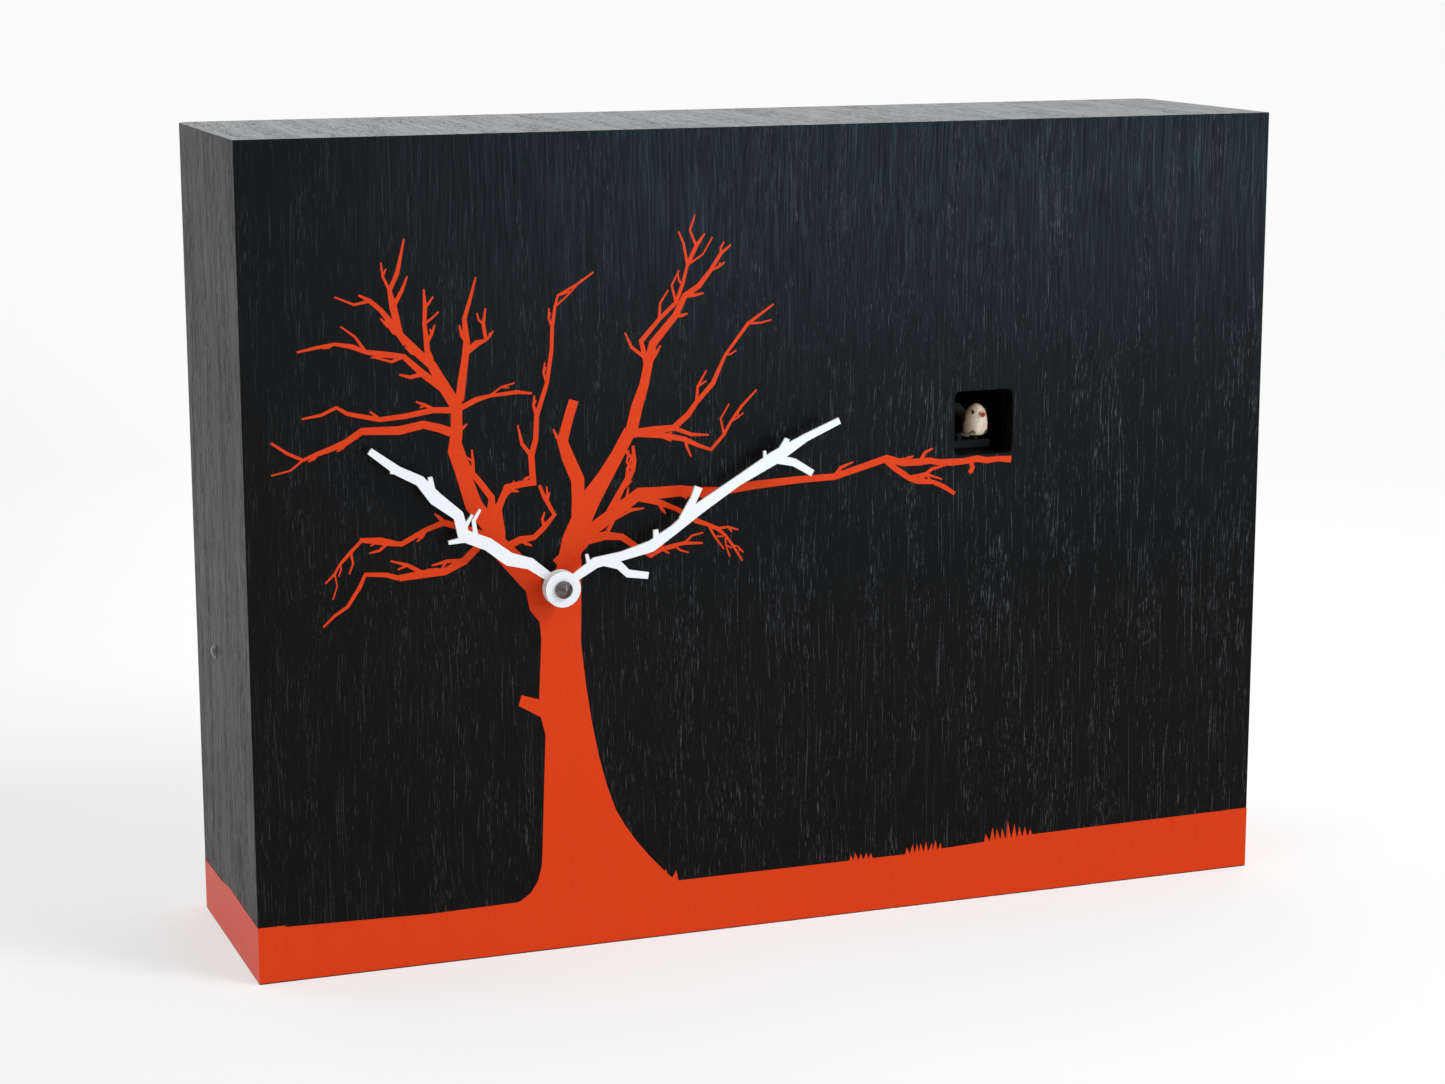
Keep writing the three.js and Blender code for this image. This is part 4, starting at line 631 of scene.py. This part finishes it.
def egg_mesh(name, centre, radii_mm):
    """A ball or egg from its three radii."""
    levels = 14
    rings = []
    for level in range(1, levels):
        tilt = math.pi * level / levels
        rings.append([
            Vector(centre) + Vector((
                radii_mm[0] * math.sin(tilt) * math.cos(a),
                radii_mm[1] * math.sin(tilt) * math.sin(a),
                -radii_mm[2] * math.cos(tilt),
            )) * MM for a in spokes(24)])
    return ring_mesh(name, rings)


def joined_mesh(name, meshes):
    """One mesh from several. Each keeps its own material numbers."""
    result = bmesh.new()
    for mesh in meshes:
        result.from_mesh(mesh)
        bpy.data.meshes.remove(mesh)
    whole = bpy.data.meshes.new(name)
    result.to_mesh(whole)
    result.free()
    return whole


# ---------------------------------------------------------------- bird

# Outline of the bird from its flat base up: height, half width, half depth, shift to the back.
BIRD_STATIONS_MM = (
    (0.0, 2.9, 3.3, 0.3), (0.3, 3.5, 4.0, 0.2), (1.1, 3.9, 4.6, 0.1), (2.6, 4.1, 5.0, 0.0),
    (4.6, 4.05, 5.1, 0.0), (6.4, 3.75, 4.85, -0.1), (7.9, 3.3, 4.25, -0.3), (9.1, 2.65, 3.45, -0.45),
    (10.0, 1.85, 2.35, -0.55), (10.55, 1.0, 1.3, -0.6), (10.78, 0.32, 0.4, -0.6),
)
EYE_MM = (2.65, 8.2)  # from the middle, and over the base
HEAD_TURN_MM = 0.4  # the face looks a little to the right
BEAK_HEIGHT_MM = 7.5
FEET_MM = (-2.4, 2.3)
TOE_FANS_MM = (-0.75, 0.0, 0.75)
# Down the wing: height, place to the back, half thickness, half width.
WING_STATIONS_MM = (
    (8.0, 0.6, 0.2, 0.8), (6.9, 0.7, 0.7, 1.7), (5.2, 0.9, 0.85, 2.4), (3.6, 1.6, 0.85, 2.4),
    (2.2, 3.0, 0.6, 1.7), (1.1, 4.4, 0.35, 0.7),
)
# Along a feather from 0 to 1, with its half width and half thickness in millimetres.
FEATHER_STATIONS = ((0.0, 0.7, 0.6), (0.3, 1.0, 0.5), (0.7, 1.25, 0.35), (0.93, 1.0, 0.25), (1.0, 0.4, 0.15))


def bird_surface(base, across_mm, height_mm):
    """The point on the front of the bird at a distance from its middle and a height over its base."""
    for (low, *first), (high, *second) in zip(BIRD_STATIONS_MM, BIRD_STATIONS_MM[1:]):
        if low <= height_mm <= high:
            t = (height_mm - low) / (high - low)
            half, depth, shift = (a + (b - a) * t for a, b in zip(first, second))
    reach = depth * math.sqrt(max(0.0, 1 - (across_mm / half) ** 2))
    return base + Vector((across_mm, shift - reach, height_mm)) * MM


def smoothed(piece):
    smoothing = piece.modifiers.new("smoothing", "SUBSURF")
    smoothing.levels = smoothing.render_levels = 2


def make_bird():
    low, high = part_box("bird_body")
    base = Vector(((low[0] + high[0]) / 2, high[1] - BIRD_BACK_MM * MM, low[2]))
    rings = []
    for height, half, depth, shift in BIRD_STATIONS_MM:
        rings.append([
            base + Vector((half * math.cos(a), shift + depth * math.sin(a), height)) * MM
            for a in spokes(32)])
    figure = place_piece("bird_figure", ring_mesh("bird_figure", rings), "bird_paint", "bird")
    smoothed(figure)
    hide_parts("bird_body")

    for side, sign in (("left", -1), ("right", 1)):
        wing = wing_mesh(f"bird_wing_{side}", base, sign)
        piece = place_piece(f"bird_wing_{side}", wing, "wing_paint", "bird")
        smoothed(piece)
        place = bird_surface(base, sign * EYE_MM[0] + HEAD_TURN_MM, EYE_MM[1])
        brow = egg_mesh(f"bird_brow_{side}", place + Vector((-0.1 * sign, 0, 0)) * MM, (0.32, 0.72, 0.85))
        place_piece(f"bird_brow_{side}", brow, "brow", "bird")
        eye = egg_mesh(f"bird_eye_{side}", place + Vector((0, -0.1, -0.02)) * MM, (0.42, 0.78, 0.7))
        place_piece(f"bird_eye_{side}", eye, "eye", "bird")

    beak = bird_surface(base, HEAD_TURN_MM, BEAK_HEIGHT_MM)
    base_profile = [[0.9, 0.8], [1.2, 0.2], [1.1, -0.25], [0.82, -0.8], [0.0, -0.85]]
    tip_profile = [[0.8, -0.76], [0.8, -0.95], [0.62, -1.3], [0.3, -1.62], [0.0, -1.7]]
    stem = turned_mesh("bird_beak", beak, "Y", base_profile, 28)
    place_piece("bird_beak", stem, "beak_base", "bird")
    tip = turned_mesh("bird_beak_tip", beak + Vector((0.06, 0, -0.06)) * MM, "Y", tip_profile, 28)
    place_piece("bird_beak_tip", tip, "beak_tip", "bird")
    gape = egg_mesh("bird_gape", beak + Vector((0, -0.35, 0.02)) * MM, (1.22, 0.62, 0.07))
    place_piece("bird_gape", gape, "claw", "bird")

    toes = []
    for foot in FEET_MM:
        for fan in TOE_FANS_MM:
            top = bird_surface(base, foot + 0.2 * fan, 1.9) + Vector((0, 0.1, 0)) * MM
            knuckle = bird_surface(base, foot + 0.8 * fan, 1.2) + Vector((0, -0.12, 0)) * MM
            nail = bird_surface(base, foot + fan, 0.5) + Vector((0, -0.06, 0)) * MM
            toes.append(tube_mesh("toe", [top, knuckle, nail], [0.2, 0.24, 0.1], 10))
    place_piece("bird_claws", joined_mesh("bird_claws", toes), "claw", "bird")


def wing_mesh(name, base, sign):
    """A folded wing: a pointed shell from the shoulder down to the tail."""
    rings = []
    for height, back, thick, wide in WING_STATIONS_MM:
        across = 3.45 - 0.08 * max(0.0, back) ** 2 - (0.5 if height > 6 else 0.0)
        rings.append([
            base + Vector((sign * (across + thick * math.cos(a)), back + wide * math.sin(a), height)) * MM
            for a in spokes(12)])
    if sign > 0:
        rings.reverse()
    return ring_mesh(name, rings)


def make_tail():
    low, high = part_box("bird_tail")
    middle = (low[0] + high[0]) / 2
    feathers = []
    for index, (offset, lift) in enumerate(((0.0, 0.0), (-0.9, -0.35), (0.9, -0.35))):
        root = Vector((middle, low[1] + 0.8 * MM, low[2] + 1.6 * MM))
        inset = 0.3 + 0.5 * index
        tip = Vector((middle + offset * 1.4 * MM, high[1] - inset * MM, high[2] - 0.9 * MM + lift * MM))
        rings = []
        for t, wide, thick in FEATHER_STATIONS:
            centre = root.lerp(tip, t) + Vector((0, 0, -0.8 * math.sin(math.pi * t))) * MM
            rings.append([
                centre + Vector((wide * math.cos(a), 0, thick * math.sin(a))) * MM for a in spokes(12)])
        feathers.append(ring_mesh("feather", list(reversed(rings))))
    mesh = joined_mesh("tail_feathers", feathers)
    tail = place_piece("tail_feathers", mesh, "bird_wood", "bird")
    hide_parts("bird_tail")


def make_stalk():
    """The arm that holds the bird up from the pivot on its platform."""
    low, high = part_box("bow_lever")
    middle = (low[0] + high[0]) / 2
    pivot = Vector((middle, high[1] - 1.1 * MM, low[2] + 1.28 * MM))
    pin = turned_mesh("stalk_pin", pivot, "X", [[0.5, -3.9], [0.62, -3.7], [0.62, 3.7], [0.5, 3.9]], 24)
    steps = ((0, 0.2, -0.7), (0, 0.1, 0.4), (0, -0.6, 1.9), (0, -2.0, 3.4), (0, -3.4, 4.6))
    line = [pivot + Vector(step) * MM for step in steps]
    arm = tube_mesh("stalk_arm", line, [1.5, 1.6, 1.2, 1.05, 1.2], 16)
    stalk = place_piece("bird_stalk", joined_mesh("bird_stalk", [pin, arm]), "bird_wood", "bird")
    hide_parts("bow_lever")


# ---------------------------------------------------------------- hub and light sensor

def make_nut():
    low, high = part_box("hand_nut")
    centre = Vector(((low[0] + high[0]) / 2, high[1], (low[2] + high[2]) / 2))
    profile = [
        [2.6, 0.0], [2.85, -0.12], [2.85, -1.0], [2.72, -1.18], [0.35, -3.2], [0.12, -3.34], [0.0, -3.38],
    ]
    mesh = turned_mesh("nut_cone", centre, "Y", profile, 72)
    nut = place_piece("nut_cone", mesh, "turned_steel", "minute_hand")
    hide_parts("hand_nut")


def make_sensor():
    low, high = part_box("light_sensor")
    centre = Vector((low[0], (low[1] + high[1]) / 2, (low[2] + high[2]) / 2))
    dome = [
        [0.02, 1.3], [0.7, 1.38], [1.3, 1.6], [1.75, 2.0], [1.97, 2.5], [2.0, 3.0], [2.0, 12.0], [0.3, 15.0],
    ]
    mesh = turned_mesh("sensor_lens", centre, "X", dome, 40)
    lens = place_piece("sensor_lens", mesh, "clear_lens", "case")
    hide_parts("light_sensor")
    rim = [[2.02, 2.55], [2.12, 2.35], [2.45, 2.35], [2.55, 2.6], [2.25, 2.8]]
    mesh = turned_mesh("sensor_rim", centre, "X", rim, 40)
    place_piece("sensor_rim", mesh, "grey_plastic", "case")
    collar = [[2.1, 10.6], [4.0, 10.6], [4.0, 12.1], [3.6, 12.4], [2.1, 12.4]]
    mesh = turned_mesh("sensor_collar", centre, "X", collar, 40)
    place_piece("sensor_collar", mesh, "black_plastic", "case")


# ---------------------------------------------------------------- back

def rounded_outline(low, high, radius, steps=8):
    points = []
    corners = ((high[0], high[1], 0), (low[0], high[1], 1), (low[0], low[1], 2), (high[0], low[1], 3))
    for x, z, quarter in corners:
        centre_x = x - radius if quarter in (0, 3) else x + radius
        centre_z = z - radius if quarter in (0, 1) else z + radius
        for i in range(steps + 1):
            angle = math.pi / 2 * (quarter + i / steps)
            points.append((centre_x + radius * math.cos(angle), centre_z + radius * math.sin(angle)))
    return points


def round_outline(x, z, radius):
    return [(x + radius * math.cos(a), z + radius * math.sin(a)) for a in spokes(32)]


def flat_board(name, outlines, front, back, bevel_mm):
    """A board cut from outlines in X and Z, the first one its edge and the others holes."""
    curve = bpy.data.curves.new(name, "CURVE")
    curve.dimensions = "2D"
    curve.fill_mode = "BOTH"
    curve.bevel_depth = bevel_mm * MM
    curve.bevel_resolution = 1
    curve.extrude = (back - front) / 2 - bevel_mm * MM
    curve.offset = -bevel_mm * MM
    for outline in outlines:
        spline = curve.splines.new("POLY")
        spline.points.add(len(outline) - 1)
        for point, (x, z) in zip(spline.points, outline):
            point.co = (x, z, 0, 1)
        spline.use_cyclic_u = True
    board = bpy.data.objects.new(name, curve)
    bpy.context.scene.collection.objects.link(board)
    board.matrix_world = Matrix.Translation((0, (front + back) / 2, 0)) @ Matrix.Rotation(math.pi / 2, 4, "X")
    bpy.context.view_layer.update()
    mesh = bpy.data.meshes.new_from_object(board.evaluated_get(bpy.context.evaluated_depsgraph_get()))
    mesh.transform(board.matrix_world)
    bpy.data.objects.remove(board)
    bpy.data.curves.remove(curve)
    mesh.name = name
    return mesh


HATCH_X = 0.085  # the middle of the hatch to the sound box
HATCH_Z = 0.062
SOUND_HOLE_RADIUS = 0.0025
SOUND_RING_STEP = 0.01
SCREW_HOLE_RADIUS = 0.0018
COVER_SCREWS = ("upper_left", "upper_right", "lower_left", "lower_right")


def sound_holes():
    speaker = middle_of("loudspeaker")
    centres = [(speaker.x, speaker.z)]
    for ring in (1, 2):
        for i in range(4 * ring):
            angle = 2 * math.pi * i / (4 * ring)
            reach = SOUND_RING_STEP * ring
            centres.append((speaker.x + reach * math.cos(angle), speaker.z + reach * math.sin(angle)))
    return [round_outline(x, z, SOUND_HOLE_RADIUS) for x, z in centres]


def make_back_board():
    low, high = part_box("back_cover")
    holes = sound_holes()
    hub = middle_of("hand_nut")
    # each window's middle, then its half width, half height and corner radius in millimetres
    windows = [(hub.x, hub.z - 2 * MM, 34, 34, 4), (HATCH_X, HATCH_Z, 62, 36, 4)]
    for side in ("left", "right"):
        plate = middle_of(f"hanger_plate_{side}")
        windows.append((plate.x, plate.z, 7, 10, 3))
    for x, z, half, tall, radius in windows:
        low_corner = (x - half * MM, z - tall * MM)
        holes.append(rounded_outline(low_corner, (x + half * MM, z + tall * MM), radius * MM))
    for corner in COVER_SCREWS:
        screw = middle_of(f"cover_screw_{corner}")
        holes.append(round_outline(screw.x, screw.z, SCREW_HOLE_RADIUS))
    edge = rounded_outline((low[0], low[2]), (high[0], high[2]), 0.8 * MM, 3)
    mesh = flat_board("back_board", [edge, *holes], low[1], high[1], 0.2)
    board = place_piece("back_board", mesh, "hardboard", "case")
    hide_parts("back_cover")


def cross_recess_mesh(name, centre, size_mm, depth_mm):
    """The cutter for a cross recess, narrower at its floor."""
    bars = []
    for turn in (0, 1):
        rings = []
        for reach, narrow in ((0.4, 1.0), (-depth_mm, 0.6)):
            long, wide = size_mm * narrow, size_mm * 0.2 * narrow
            half = (long, wide) if turn else (wide, long)
            rings.append([centre + Vector((sx * half[0], reach, sz * half[1])) * MM
                          for sx, sz in ((-1, -1), (1, -1), (1, 1), (-1, 1))])
        bars.append(ring_mesh("bar", rings))
    return joined_mesh(name, bars)


def carved(name, mesh, cutter_mesh):
    """The first mesh with the second one cut out of it."""
    body = bpy.data.objects.new(name, mesh)
    cutter = bpy.data.objects.new("cutter", cutter_mesh)
    for one in (body, cutter):
        bpy.context.scene.collection.objects.link(one)
    cut = body.modifiers.new("cut", "BOOLEAN")
    cut.object = cutter
    cut.solver = "EXACT"
    cut.use_self = True
    bpy.context.view_layer.update()
    result = bpy.data.meshes.new_from_object(body.evaluated_get(bpy.context.evaluated_depsgraph_get()))
    for one in (body, cutter):
        bpy.data.objects.remove(one)
    result.name = name
    return result


def make_screws():
    profile = [
        [1.5, -18.0], [1.5, 0.0], [3.3, 0.02], [3.4, 0.25], [3.3, 0.9],
        [2.9, 1.5], [2.2, 2.0], [1.2, 2.25], [0.02, 2.3],
    ]
    for corner in COVER_SCREWS:
        node = f"cover_screw_{corner}"
        low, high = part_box(node)
        centre = Vector(((low[0] + high[0]) / 2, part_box("back_cover")[1][1], (low[2] + high[2]) / 2))
        head = turned_mesh(node, centre, "Y", profile, 40)
        recess = cross_recess_mesh("recess", centre + Vector((0, 2.3, 0)) * MM, 1.75, 1.2)
        mesh = carved(node, head, recess)
        piece = place_piece(f"screw_head_{corner}", mesh, "blackened_steel", "case")
        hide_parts(node)


# ---------------------------------------------------------------- cells and electronics

CELLS = ("movement_cell", "control_cell_upper", "control_cell_lower")
CELL_RADIUS_MM = 7.05
CELL_MATERIALS = ["cell_skin", "steel", "cell_band"]


def make_cells():
    """AA cells: a printed sleeve with one plain band, a steel cap at the right and a steel base."""
    radius = CELL_RADIUS_MM
    for node in CELLS:
        low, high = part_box(node)
        centre = Vector((low[0], (low[1] + high[1]) / 2, (low[2] + high[2]) / 2))
        profile = [
            [4.6, 0.0], [5.4, 0.25], [6.2, 0.25], [6.6, 0.1], [radius, 0.35], [radius, 34.0],
            [radius, 34.02], [radius, 48.6], [6.8, 49.2], [6.2, 49.3], [5.6, 48.8], [2.7, 48.9],
            [2.6, 49.4], [2.6, 50.1], [2.3, 50.4], [0.0, 50.45],
        ]
        shades = [1, 1, 1, 0, 0, 2, 2, 2, 2, 1, 1, 1, 1, 1, 1]  # numbers of CELL_MATERIALS
        mesh = turned_mesh(node, centre, "X", profile, 48, shades)
        piece = place_piece(f"aa_{node}", mesh, CELL_MATERIALS, "case")
        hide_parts(node)


make_camera()
make_studio()
make_materials()
finish_nodes()
make_bird()
make_tail()
make_stalk()
make_nut()
make_sensor()
make_back_board()
make_screws()
make_cells()
